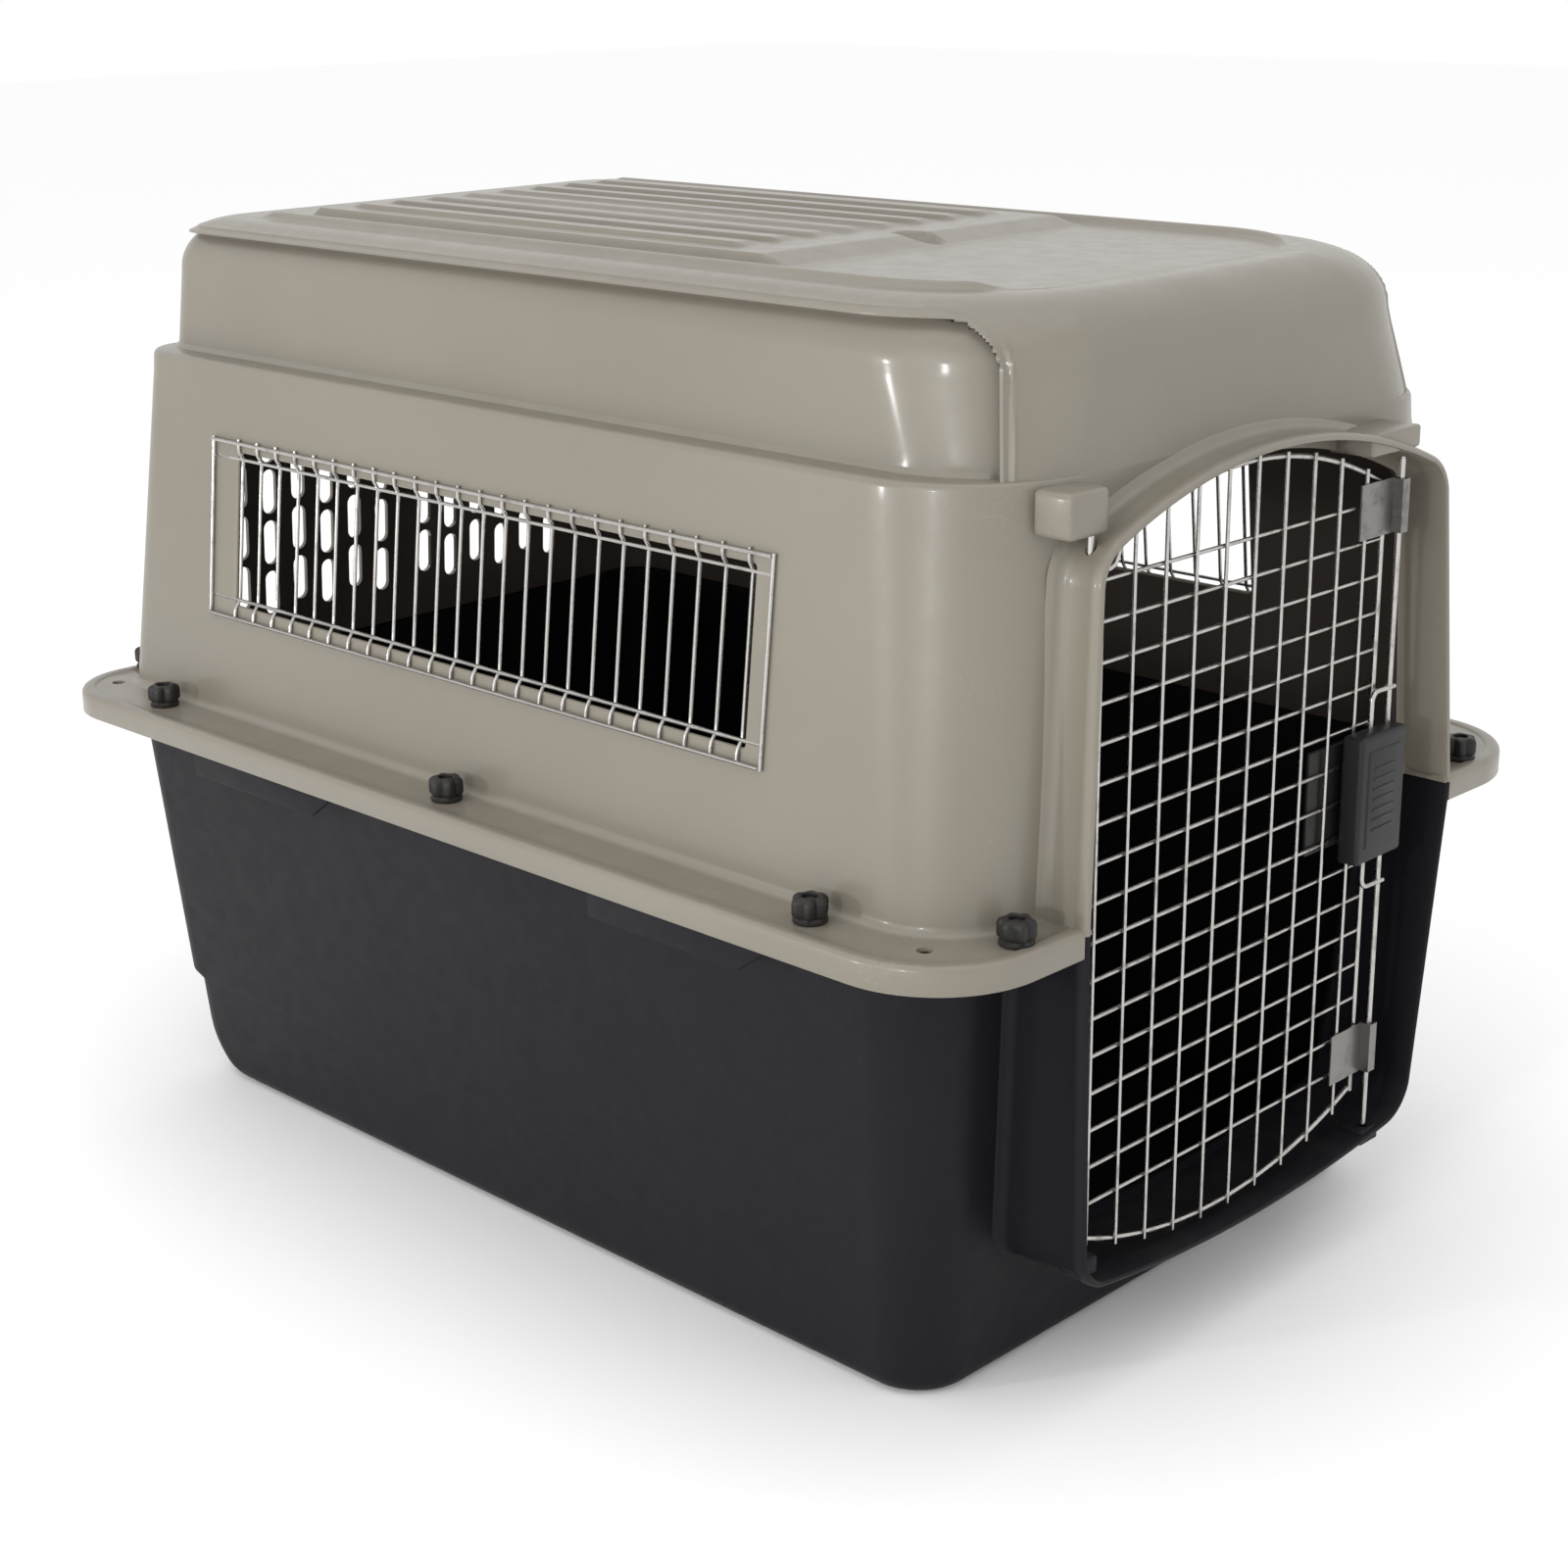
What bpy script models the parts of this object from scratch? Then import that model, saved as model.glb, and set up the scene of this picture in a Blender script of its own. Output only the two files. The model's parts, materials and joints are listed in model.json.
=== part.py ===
"""Pet transport carrier: a two-piece moulded kennel with a swinging wire door.

A dark tub and a taupe cover meet at a bolted flange.  Wire grilles close the
side windows, slots vent the rear wall, and the front hood holds a welded wire
door with a squeeze latch: two sprung bolts that reach into the hood above and
below the door.  Metres, +Z up, +X towards the door; the origin lies on the
floor under the middle of the carrier's bounding box.
"""

import math

import bmesh
import bpy
from mathutils import Matrix, Vector

# ---------------------------------------------------------------- dimensions
LENGTH = 0.914
WIDTH = 0.635
HEIGHT = 0.686
SEAM_Z = 0.310              # lower edge of the cover's flange lip
WALL = 0.0035
GAP = 0.0003                # between pieces that rest on each other

FLANGE_FRONT_X = 0.4555
FLANGE_REAR_X = -LENGTH / 2
FLANGE_HALF = WIDTH / 2
FLANGE_FRONT_RADIUS = 0.075
FLANGE_REAR_RADIUS = 0.057
LIP_HEIGHT = 0.018
LIP_WALL = 0.0040
SEAT_RISE = LIP_HEIGHT - LIP_WALL       # underside of the cover's flange
TUB_FLANGE = 0.0050
FLANGE_LOW_RISE = SEAT_RISE - GAP - TUB_FLANGE

TUB_BASE_FRONT_X = 0.3725
TUB_BASE_REAR_X = -0.4205
TUB_BASE_HALF = 0.242
TUB_BASE_CORNER = 0.040
TUB_TOP_FRONT_X = 0.400
TUB_TOP_REAR_X = -0.426
TUB_TOP_HALF = 0.272
TUB_TOP_CORNER = 0.052
REAR_CORNER = 0.032
BASE_EDGE_RADIUS = 0.012
BASE_REAR_RADIUS = 0.045
REAR_STEP_Z = 0.083
REAR_STEP_DEPTH = 0.012

COVER_FRONT_X = 0.4225
COVER_REAR_X = -0.4305
COVER_HALF = 0.2715
COVER_FOOT_RISE = 0.024     # the wall starts here, above the seam
COVER_CORNER = 0.060
SHOULDER_RISE = 0.263
SHOULDER_FRONT_X = 0.4185
SHOULDER_REAR_X = -0.4145
SHOULDER_HALF = 0.2445
SHOULDER_CORNER = 0.090
SHOULDER_STEP = 0.0085      # height of the ledge on top of the side walls
DOME_HALF = 0.2365
DOME_PANEL_HALF = 0.2220
EAVES_RISE = 0.329
EAVES_FRONT_X = 0.411
EAVES_REAR_X = -0.407
EAVES_HALF = 0.230
EAVES_PANEL_HALF = 0.2190
EAVES_CORNER = 0.105
ROOF_RISE = 0.367
ROOF_EDGE_RADIUS = 0.038
PANEL_EDGE_RADIUS = 0.034
PLATEAU_RISE = 0.3735
PLATEAU_FRONT_X = 0.168
PLATEAU_REAR_X = -0.315
PLATEAU_HALF = 0.157
PLATEAU_SLOPES = (0.026, 0.008)         # run of the front slope, and of the others
PLATEAU_CORNER = 0.022
PLATEAU_RIBS = 8
RIB_PITCH = 0.034
RIB_WIDTH = 0.012
RIB_SPAN_X = (-0.290, 0.115)

HOOD_FRONT_X = LENGTH / 2
HOOD_HALF = 0.197           # at the seam
HOOD_TAPER = 0.075          # loss of half width for each metre from the seam
HOOD_LEAN = 0.035           # the front rim leans back as it leaves the seam
HOOD_WALL = 0.0040
HOOD_TOP_RISE = 0.272
HOOD_TOP_RADIUS = 0.42
HOOD_BOTTOM_DROP = 0.240
HOOD_BOTTOM_RADIUS = 1.10
HOOD_CORNER_RADIUS = 0.030
DOORWAY_INSET = 0.008

WINDOW_REAR_X = -0.283
WINDOW_FRONT_X = 0.248
WINDOW_LOW_RISE = 0.097
WINDOW_HIGH_RISE = 0.211
GRILLE_REAR_X = -0.310
GRILLE_FRONT_X = 0.262
GRILLE_WIRES = 24
GRILLE_WIRE = 0.0024
GRILLE_FOOT_ROWS = (-0.007, 0.006)      # from the window's lower edge
GRILLE_HEAD_ROWS = (-0.006, 0.006)      # from the window's upper edge
GRILLE_END_GAPS = (0.004, 0.006)        # from the window's ends to the first and last wire

DOOR_X = 0.433
HINGE_Y = -0.172
DOOR_FREE_Y = 0.130
DOOR_WIRE = 0.0026
DOOR_FRAME_WIRE = 0.0040
DOOR_PITCH_Y = 0.030
DOOR_PITCH_Z = 0.02444
DOOR_COLUMNS = 10
DOOR_ROWS = 17
DOOR_FIRST_COLUMN_Y = HINGE_Y + 0.010
DOOR_TOP_ROW_RISE = 0.213
DOOR_ARCH_RISE = 0.2605
DOOR_ARCH_RADIUS = 0.33
DOOR_CORNER_Y = (-0.151, -0.138)        # the arch drops here, so that it swings clear
DOOR_CORNER_RISE = 0.219
DOOR_FOOT_DROP = 0.227
DOOR_FOOT_RADIUS = 0.38

BOLT_X = 0.4395
BOLT_Y = 0.1395
BOLT_RADIUS = 0.0020
BOLT_TIPS = (-0.2243, 0.2415)           # above the seam: drawn just clear of their bores
HINGE_ROD = (-0.2135, 0.2560)
HOUSING_LOW_RISE = -0.022
HOUSING_HIGH_RISE = 0.065
HOUSING_NEAR_Y = 0.093
HOUSING_FAR_Y = 0.146
HOUSING_FRONT_X = 0.4530
HOUSING_WALL = 0.0018
GRIP_RISE = 0.024           # of a bolt's finger grip, beyond the housing
GRIP_LEG_OFFSET = 0.020

FASTENER_RADIUS = 0.0118
FASTENER_HEIGHT = 0.0150
SHANK_RADIUS = 0.0030
SIDE_FASTENER_X = (-0.343, -0.008, 0.327)
SIDE_FASTENER_Y = 0.291
END_FASTENER_Y = 0.238
FRONT_FASTENER_X = 0.4380
REAR_FASTENER_X = -0.4445
TIE_HOLE_RADIUS = 0.0050
TIE_HOLES = ((0.406, 0.280), (-0.424, 0.280))

GRIP_SPANS = ((-0.294, -0.151), (0.141, 0.275))
GRIP_Y = 0.2970
GRIP_DROP = 0.026

VENT_COLUMNS = 6
VENT_ROWS = 4
VENT_FIRST_Y = 0.0225
VENT_PITCH_Y = 0.0275
VENT_PITCH_Z = 0.0415
VENT_LOW_RISE = 0.061
VENT_STAGGER = 0.008
VENT_WIDTH = 0.013
VENT_HEIGHT = 0.036

# Bosses and bores of the hood; each height is a rise above the seam.
TUB_BOSSES = (((0.4270, -0.1790, -0.2185), (0.4440, -0.1620, -0.2065)),
              ((0.4270, 0.1290, -0.2365), (0.4455, 0.1500, -0.2255)))
COVER_BOSSES = (((0.4150, -0.2160, 0.2380), (0.4450, -0.1640, 0.2710)),
                ((0.4150, 0.0950, 0.2470), (0.4455, 0.1500, 0.2615)))
HINGE_BORE_RADIUS = 0.0034
BOLT_BORE_RADIUS = 0.0032
TUB_HINGE_BORE = (-0.240, -0.195)
TUB_BOLT_BORE = (-0.245, -0.205)
COVER_HINGE_BORE = (0.196, 0.262)
COVER_BOLT_BORE = (0.216, 0.256)

# How far each cutter reaches along the direction that it cuts in.
TUB_NOTCH_X = (0.4180, 0.4700)
HOOD_CUT_X = (0.4240, 0.4700)
TUB_DOORWAY_X = (0.3400, 0.4200)
COVER_DOORWAY_X = (0.3600, 0.4245)
VENT_CUT_X = (-0.438, -0.398)
WINDOW_CUT_Y = (0.215, 0.300)

GUIDE_RISES = {"upper": (0.192, 0.228), "lower": (-0.184, -0.148)}
GUIDE_SHEET = 0.0012
GUIDE_SLEEVE_HALF = 0.0040
GUIDE_REACH = 0.0400
BACK_PLATE_LOW = (0.0640, -0.012)       # (y, rise)
BACK_PLATE_HIGH = (0.1500, 0.058)
BACK_PLATE_DEPTH = 0.0030
BOLT_INNER_REACH = 0.0210               # a bolt's inner end, from the housing's middle
COLLAR_RADIUS = 0.0036
SPRING_WIRE_RADIUS = 0.00035
SPRING_COIL_RADIUS = 0.0030

ROUND_STEPS = 8             # sides of small round pieces


# ------------------------------------------------------------------- helpers
def clear_scene():
    """Remove every object that the scene starts with."""
    for item in list(bpy.data.objects):
        bpy.data.objects.remove(item, do_unlink=True)


def plastic(name, color, roughness):
    """A moulded plastic in one colour."""
    return principled(name, color, roughness, 0.0)


def steel(name, color, roughness):
    """A bright plated steel."""
    return principled(name, color, roughness, 1.0)


def principled(name, color, roughness, metallic):
    """A Principled material with its three main values."""
    material = bpy.data.materials.new(name)
    material.use_nodes = True
    shader = material.node_tree.nodes["Principled BSDF"]
    shader.inputs["Base Color"].default_value = (*color, 1.0)
    shader.inputs["Roughness"].default_value = roughness
    shader.inputs["Metallic"].default_value = metallic
    return material


def add_object(name, mesh_builder, material=None, parent=None):
    """Turn a bmesh into a named object, whose mesh keeps world places."""
    mesh = bpy.data.meshes.new(name)
    bmesh.ops.recalc_face_normals(mesh_builder, faces=mesh_builder.faces)
    mesh_builder.to_mesh(mesh)
    mesh_builder.free()
    if material:
        mesh.materials.append(material)
    item = bpy.data.objects.new(name, mesh)
    bpy.context.collection.objects.link(item)
    if parent:
        hang_on(item, parent)
    return item


def hang_on(item, parent):
    """Parent an object without moving it."""
    item.parent = parent
    item.matrix_parent_inverse = Matrix.Translation(-parent.location)


def joint_empty(name, location):
    """An empty on a joint's axis, which carries the moving pieces."""
    empty = bpy.data.objects.new(name, None)
    empty.location = location
    empty.empty_display_size = 0.03
    bpy.context.collection.objects.link(empty)
    return empty


def apply_cut(item, cutter, operation):
    """Add a Boolean modifier whose cutter stays out of the model."""
    cutter.hide_render = True
    cutter.display_type = "WIRE"
    modifier = item.modifiers.new(f"{operation.lower()}_{cutter.name}", "BOOLEAN")
    modifier.operation = operation
    modifier.object = cutter


def loft(builder, rings, cap_start=True, cap_end=True):
    """Skin a row of equal rings of points, with flat caps at its ends."""
    rows = [[builder.verts.new(point) for point in ring] for ring in rings]
    for lower, upper in zip(rows, rows[1:]):
        for index in range(len(lower)):
            following = (index + 1) % len(lower)
            builder.faces.new((lower[index], lower[following], upper[following], upper[index]))
    if cap_start:
        builder.faces.new(list(reversed(rows[0])))
    if cap_end:
        builder.faces.new(rows[-1])
    return rows


def lofted(rings):
    """A new bmesh holding one lofted body."""
    builder = bmesh.new()
    loft(builder, rings)
    return builder


def add_box(builder, low, high):
    """Add a closed box between two corners."""
    centre = (Vector(low) + Vector(high)) / 2
    size = Vector(high) - Vector(low)
    matrix = Matrix.Translation(centre) @ Matrix.Diagonal((*size, 1.0))
    return bmesh.ops.create_cube(builder, size=1.0, matrix=matrix)["verts"]


def add_rod(builder, start, end, radius, steps=ROUND_STEPS):
    """Add a straight round rod between two points."""
    start, end = Vector(start), Vector(end)
    run = end - start
    turn = run.to_track_quat("Z", "Y").to_matrix().to_4x4()
    matrix = Matrix.Translation((start + end) / 2) @ turn
    return bmesh.ops.create_cone(builder, cap_ends=True, segments=steps, radius1=radius,
                                 radius2=radius, depth=run.length, matrix=matrix)["verts"]


def arc_points(centre, radius, start_deg, end_deg, steps):
    """Points of an arc in a plane, ends included."""
    points = []
    for step in range(steps + 1):
        angle = math.radians(start_deg + (end_deg - start_deg) * step / steps)
        points.append((centre[0] + radius * math.cos(angle), centre[1] + radius * math.sin(angle)))
    return points


def mirrored_outline(half):
    """Close a half outline by its mirror image across the XZ plane."""
    return half + [(x, -y) for x, y in reversed(half)]


def plan_ring(z, front_x, rear_x, half, front_radius, rear_radius, recess=0.0):
    """Plan outline of a shell at one height.

    The side and the rear run `recess` inside the front frame, which ends on
    the middle of the front corners.
    """
    corner_x = front_x - front_radius
    corner_y = half - front_radius
    outline = arc_points((corner_x, corner_y), front_radius, 0, 43, 3)
    outline += arc_points((corner_x, corner_y), front_radius - recess, 47, 90, 3)
    rear_centre = (rear_x + rear_radius, half - recess - rear_radius)
    outline += arc_points(rear_centre, rear_radius, 90, 180, 4)
    return [(x, y, z) for x, y in mirrored_outline(outline)]


# ----------------------------------------------------------------- the shells
def tub_front_x(z):
    """Front face of the tub's wall at a height."""
    return TUB_BASE_FRONT_X + (TUB_TOP_FRONT_X - TUB_BASE_FRONT_X) * z / SEAM_Z


def tub_half(z):
    """Half width of the tub's wall at a height."""
    return TUB_BASE_HALF + (TUB_TOP_HALF - TUB_BASE_HALF) * z / SEAM_Z


def tub_rear_x(z):
    """Rear face of the tub's wall, which steps in below the rear ledge."""
    plain = TUB_BASE_REAR_X + (TUB_TOP_REAR_X - TUB_BASE_REAR_X) * z / SEAM_Z
    return plain + (REAR_STEP_DEPTH if z < REAR_STEP_Z else 0.0)


def quarter_inset(rise, radius):
    """How far a rounded lower edge stands in at a height above the base."""
    if rise >= radius:
        return 0.0
    return radius - math.sqrt(radius ** 2 - (radius - rise) ** 2)


def tub_ring(z, offset):
    """The tub's wall outline at a height, `offset` inside its outer face."""
    rise = z - offset
    side = quarter_inset(rise, BASE_EDGE_RADIUS) + offset
    rear = quarter_inset(rise, BASE_REAR_RADIUS) + offset
    corner = TUB_BASE_CORNER + (TUB_TOP_CORNER - TUB_BASE_CORNER) * rise / SEAM_Z
    return plan_ring(z, tub_front_x(rise) - side, tub_rear_x(rise) + rear, tub_half(rise) - side,
                     corner - side, REAR_CORNER - side)


def flange_ring(z, inset):
    """The flange's outline at a height, `inset` inside its outer edge."""
    return plan_ring(z, FLANGE_FRONT_X - inset, FLANGE_REAR_X + inset, FLANGE_HALF - inset,
                     FLANGE_FRONT_RADIUS - inset, FLANGE_REAR_RADIUS - inset)


def tub_body():
    """The tub: inner floor, inner walls, flange, outer walls and base."""
    rises = [0.0, 0.0012, 0.0045, 0.012, 0.022, BASE_REAR_RADIUS, REAR_STEP_Z - 0.002,
             REAR_STEP_Z + 0.002]
    flange_top = SEAM_Z + SEAT_RISE - GAP
    flange_low = SEAM_Z + FLANGE_LOW_RISE
    flange_inset = LIP_WALL + 0.0005
    inner = [tub_ring(rise + WALL, WALL) for rise in rises]
    inner.append(tub_ring(flange_top, WALL))
    flange = [flange_ring(flange_top, flange_inset), flange_ring(flange_low, flange_inset)]
    outer = [tub_ring(flange_low, 0.0)]
    outer += [tub_ring(rise, 0.0) for rise in reversed(rises)]
    return lofted(inner + flange + outer)


def cover_wall_rings(offset):
    """Rings of the cover from the flange to the roof, `offset` inside the skin."""
    rings = []

    def ring(rise, front_x, rear_x, half, corner, recess=0.0):
        rings.append(plan_ring(SEAM_Z + rise, front_x - offset, rear_x + offset, half - offset,
                               corner - offset, REAR_CORNER - offset, recess))

    ledge = SHOULDER_RISE + SHOULDER_STEP - offset
    ring(COVER_FOOT_RISE, COVER_FRONT_X, COVER_REAR_X, COVER_HALF, COVER_CORNER)
    ring(SHOULDER_RISE - offset, SHOULDER_FRONT_X, SHOULDER_REAR_X, SHOULDER_HALF,
         SHOULDER_CORNER)
    ring(ledge - 0.0025, SHOULDER_FRONT_X, SHOULDER_REAR_X, SHOULDER_HALF - 0.0025,
         SHOULDER_CORNER)
    ring(ledge, SHOULDER_FRONT_X, SHOULDER_REAR_X, DOME_HALF, SHOULDER_CORNER,
         DOME_HALF - DOME_PANEL_HALF)
    ring(EAVES_RISE, EAVES_FRONT_X, EAVES_REAR_X, EAVES_HALF, EAVES_CORNER,
         EAVES_HALF - EAVES_PANEL_HALF)
    edge, panel = ROOF_EDGE_RADIUS - offset, PANEL_EDGE_RADIUS - offset
    for angle_deg in (22.5, 45.0, 67.5, 90.0):
        angle = math.radians(angle_deg)
        rise = ROOF_RISE - ROOF_EDGE_RADIUS + edge * math.sin(angle)
        inset = ROOF_EDGE_RADIUS - edge * math.cos(angle)
        panel_sine = min(1.0, max(0.0, (rise - ROOF_RISE + PANEL_EDGE_RADIUS) / panel))
        panel_inset = PANEL_EDGE_RADIUS - panel * math.sqrt(1.0 - panel_sine ** 2)
        half = EAVES_HALF - inset
        rings.append(plan_ring(SEAM_Z + rise, EAVES_FRONT_X - inset, EAVES_REAR_X + panel_inset,
                               half, EAVES_CORNER - offset, REAR_CORNER - offset,
                               half - EAVES_PANEL_HALF + panel_inset))
    return rings


def plateau_rings(offset):
    """The raised middle of the roof, `offset` inside the skin."""
    foot_z = SEAM_Z + ROOF_RISE - offset
    top_z = SEAM_Z + PLATEAU_RISE - offset
    radius = PLATEAU_CORNER - offset
    front_slope, slope = PLATEAU_SLOPES
    foot = plan_ring(foot_z, PLATEAU_FRONT_X - offset, PLATEAU_REAR_X + offset,
                     PLATEAU_HALF - offset, radius, radius)
    top = plan_ring(top_z, PLATEAU_FRONT_X - front_slope - offset, PLATEAU_REAR_X + slope + offset,
                    PLATEAU_HALF - slope - offset, radius, radius)
    return [foot, top]


def cover_body():
    """The cover: one skin from its inner roof, round the lip, to its outer roof."""
    inner = list(reversed(cover_wall_rings(WALL) + plateau_rings(WALL)))
    under_z = SEAM_Z + SEAT_RISE
    inner.append(plan_ring(under_z, COVER_FRONT_X - WALL, COVER_REAR_X + WALL, COVER_HALF - WALL,
                           COVER_CORNER - WALL, REAR_CORNER - WALL))
    lip = [flange_ring(under_z, LIP_WALL), flange_ring(SEAM_Z, LIP_WALL), flange_ring(SEAM_Z, 0.0),
           flange_ring(SEAM_Z + LIP_HEIGHT - 0.0035, 0.0),
           flange_ring(SEAM_Z + LIP_HEIGHT, 0.0035)]
    fillet = plan_ring(SEAM_Z + LIP_HEIGHT, COVER_FRONT_X + 0.0015, COVER_REAR_X - 0.0010,
                       COVER_HALF + 0.0015, COVER_CORNER, REAR_CORNER)
    outer = cover_wall_rings(0.0) + plateau_rings(0.0)
    return lofted(inner + lip + [fillet] + outer)


def hood_half(rise):
    """Half width of the hood at a height above (or below) the seam."""
    return HOOD_HALF - HOOD_TAPER * abs(rise)


def hood_rim_x(z):
    """The hood's front rim at a height."""
    return HOOD_FRONT_X - HOOD_LEAN * abs(z - SEAM_Z - SEAT_RISE)


def cover_wall_x(z):
    """Front face of the cover's wall at a height."""
    slope = (COVER_FRONT_X - SHOULDER_FRONT_X) / (SHOULDER_RISE - COVER_FOOT_RISE)
    return COVER_FRONT_X - slope * (z - SEAM_Z - COVER_FOOT_RISE)


def arch_outline(crown, radius, sign, inset, from_rise=0.0):
    """Half of the hood's outline in (y, rise), from its side to its crown.

    `sign` is +1 for the cover's half and -1 for the tub's.  The outline runs
    up the side, round the corner and along the arch to the middle.
    """
    arch_radius = radius - inset
    centre_rise = sign * (crown - radius)
    corner = HOOD_CORNER_RADIUS - inset
    reach = arch_radius - corner
    side_y = hood_half(0.19) - inset - corner
    corner_rise = centre_rise + sign * math.sqrt(reach ** 2 - side_y ** 2)
    points = [(hood_half(from_rise) - inset, from_rise)]
    end_deg = math.degrees(math.atan2(abs(corner_rise - centre_rise), side_y))
    for y, rise in arc_points((side_y, 0.0), corner, 0, end_deg, 4):
        points.append((y, corner_rise + sign * rise))
    for y, rise in arc_points((0.0, 0.0), arch_radius, end_deg, 90, 6)[1:]:
        points.append((max(y, 0.0), centre_rise + sign * rise))
    return points


def arch_both_sides(half):
    """The whole outline from one side, over the crown, to the other."""
    return half[:-1] + [(0.0, half[-1][1])] + [(-y, rise) for y, rise in reversed(half[:-1])]


def hood_band(crown, radius, sign, wall_x, start_rise):
    """One half of the hood: a thin arch that stands out of the front wall."""
    outer = arch_both_sides(arch_outline(crown, radius, sign, 0.0, start_rise))
    inner = arch_both_sides(arch_outline(crown, radius, sign, HOOD_WALL, start_rise))
    rings = []
    for (outer_y, outer_rise), (inner_y, inner_rise) in zip(outer, inner):
        outer_z, inner_z = SEAM_Z + outer_rise, SEAM_Z + inner_rise
        rings.append([
            (wall_x(outer_z) - 0.002, outer_y, outer_z),
            (hood_rim_x(outer_z) - 0.0015, outer_y, outer_z),
            (hood_rim_x(outer_z), (outer_y + inner_y) / 2, (outer_z + inner_z) / 2),
            (hood_rim_x(inner_z) - 0.0015, inner_y, inner_z),
            (wall_x(inner_z) - 0.002, inner_y, inner_z),
        ])
    return lofted(rings)


def arch_prism(crown, radius, sign, inset, low_x, high_x, start_rise):
    """A solid with the hood's outline, used to cut the hood and the doorway."""
    outline = arch_both_sides(arch_outline(crown, radius, sign, inset, start_rise))
    return lofted([[(x, y, SEAM_Z + rise) for y, rise in outline] for x in (low_x, high_x)])


def fastener_places():
    """Middle of each flange bolt in plan."""
    places = [(x, side * SIDE_FASTENER_Y) for side in (-1, 1) for x in SIDE_FASTENER_X]
    places += [(x, side * END_FASTENER_Y) for x in (FRONT_FASTENER_X, REAR_FASTENER_X)
               for side in (-1, 1)]
    return places


def flange_holes():
    """Cutters for the bolts and the cable ties, through both flanges."""
    builder = bmesh.new()
    low_z, high_z = SEAM_Z - 0.005, SEAM_Z + LIP_HEIGHT + 0.002
    for x, y in fastener_places():
        add_rod(builder, (x, y, low_z), (x, y, high_z), SHANK_RADIUS + 0.0009)
    for x, y in TIE_HOLES:
        for side in (-1, 1):
            add_rod(builder, (x, side * y, low_z), (x, side * y, high_z), TIE_HOLE_RADIUS)
    return builder


def vent_slots():
    """Cutters for the staggered slots of the rear wall."""
    builder = bmesh.new()
    end_radius = VENT_WIDTH / 2
    straight = VENT_HEIGHT / 2 - end_radius
    for column in range(VENT_COLUMNS):
        for side in (-1, 1):
            y = side * (VENT_FIRST_Y + column * VENT_PITCH_Y)
            raised = (column + (side > 0)) % 2 == 1
            for row in range(VENT_ROWS):
                rise = VENT_LOW_RISE + row * VENT_PITCH_Z + (VENT_STAGGER if raised else 0.0)
                outline = arc_points((y, SEAM_Z + rise + straight), end_radius, 0, 180, 2)
                outline += arc_points((y, SEAM_Z + rise - straight), end_radius, 180, 360, 2)
                loft(builder, [[(x, py, pz) for py, pz in outline] for x in VENT_CUT_X])
    return builder


def side_windows():
    """Cutters for the two side windows."""
    builder = bmesh.new()
    for side in (-1, 1):
        inner_y, outer_y = sorted(side * y for y in WINDOW_CUT_Y)
        add_box(builder, (WINDOW_REAR_X, inner_y, SEAM_Z + WINDOW_LOW_RISE),
                (WINDOW_FRONT_X, outer_y, SEAM_Z + WINDOW_HIGH_RISE))
    return builder


def grip_lips():
    """Finger lips that hang from the tub's flange on both long sides."""
    builder = bmesh.new()
    flange_z = SEAM_Z + FLANGE_LOW_RISE
    for side in (-1, 1):
        near_y, far_y = sorted((side * GRIP_Y, side * (GRIP_Y + 0.0035)))
        for start_x, end_x in GRIP_SPANS:
            add_box(builder, (start_x, near_y, SEAM_Z - GRIP_DROP), (end_x, far_y, flange_z + 0.002))
    return builder


def hood_bosses(places):
    """Blocks of the hood that take the ends of the hinge rod and the bolts."""
    builder = bmesh.new()
    for (low_x, low_y, low_rise), (high_x, high_y, high_rise) in places:
        add_box(builder, (low_x, low_y, SEAM_Z + low_rise), (high_x, high_y, SEAM_Z + high_rise))
    return builder


def shell_holes(hinge_bore, bolt_bore):
    """The flange's holes with the bores for the hinge rod and one bolt."""
    builder = flange_holes()
    for x, y, radius, (low, high) in ((DOOR_X, HINGE_Y, HINGE_BORE_RADIUS, hinge_bore),
                                      (BOLT_X, BOLT_Y, BOLT_BORE_RADIUS, bolt_bore)):
        add_rod(builder, (x, y, SEAM_Z + low), (x, y, SEAM_Z + high), radius)
    return builder


def build_tub(material):
    """The dark lower shell."""
    tub = add_object("bottom_shell", tub_body(), material)
    notch = bmesh.new()
    notch_half = HOOD_HALF - HOOD_WALL / 2
    add_box(notch, (TUB_NOTCH_X[0], -notch_half, SEAM_Z),
            (TUB_NOTCH_X[1], notch_half, SEAM_Z + LIP_HEIGHT))
    apply_cut(tub, add_object("tub_hood_notch", notch), "DIFFERENCE")
    hood = hood_band(HOOD_BOTTOM_DROP, HOOD_BOTTOM_RADIUS, -1, tub_front_x, SEAT_RISE - GAP)
    apply_cut(tub, add_object("tub_hood", hood), "UNION")
    apply_cut(tub, add_object("tub_bosses", hood_bosses(TUB_BOSSES)), "UNION")
    doorway = arch_prism(HOOD_BOTTOM_DROP, HOOD_BOTTOM_RADIUS, -1, HOOD_WALL + DOORWAY_INSET,
                         *TUB_DOORWAY_X, 0.03)
    apply_cut(tub, add_object("tub_doorway", doorway), "DIFFERENCE")
    apply_cut(tub, add_object("tub_grips", grip_lips()), "UNION")
    holes = shell_holes(TUB_HINGE_BORE, TUB_BOLT_BORE)
    apply_cut(tub, add_object("tub_holes", holes), "DIFFERENCE")
    return tub


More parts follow.
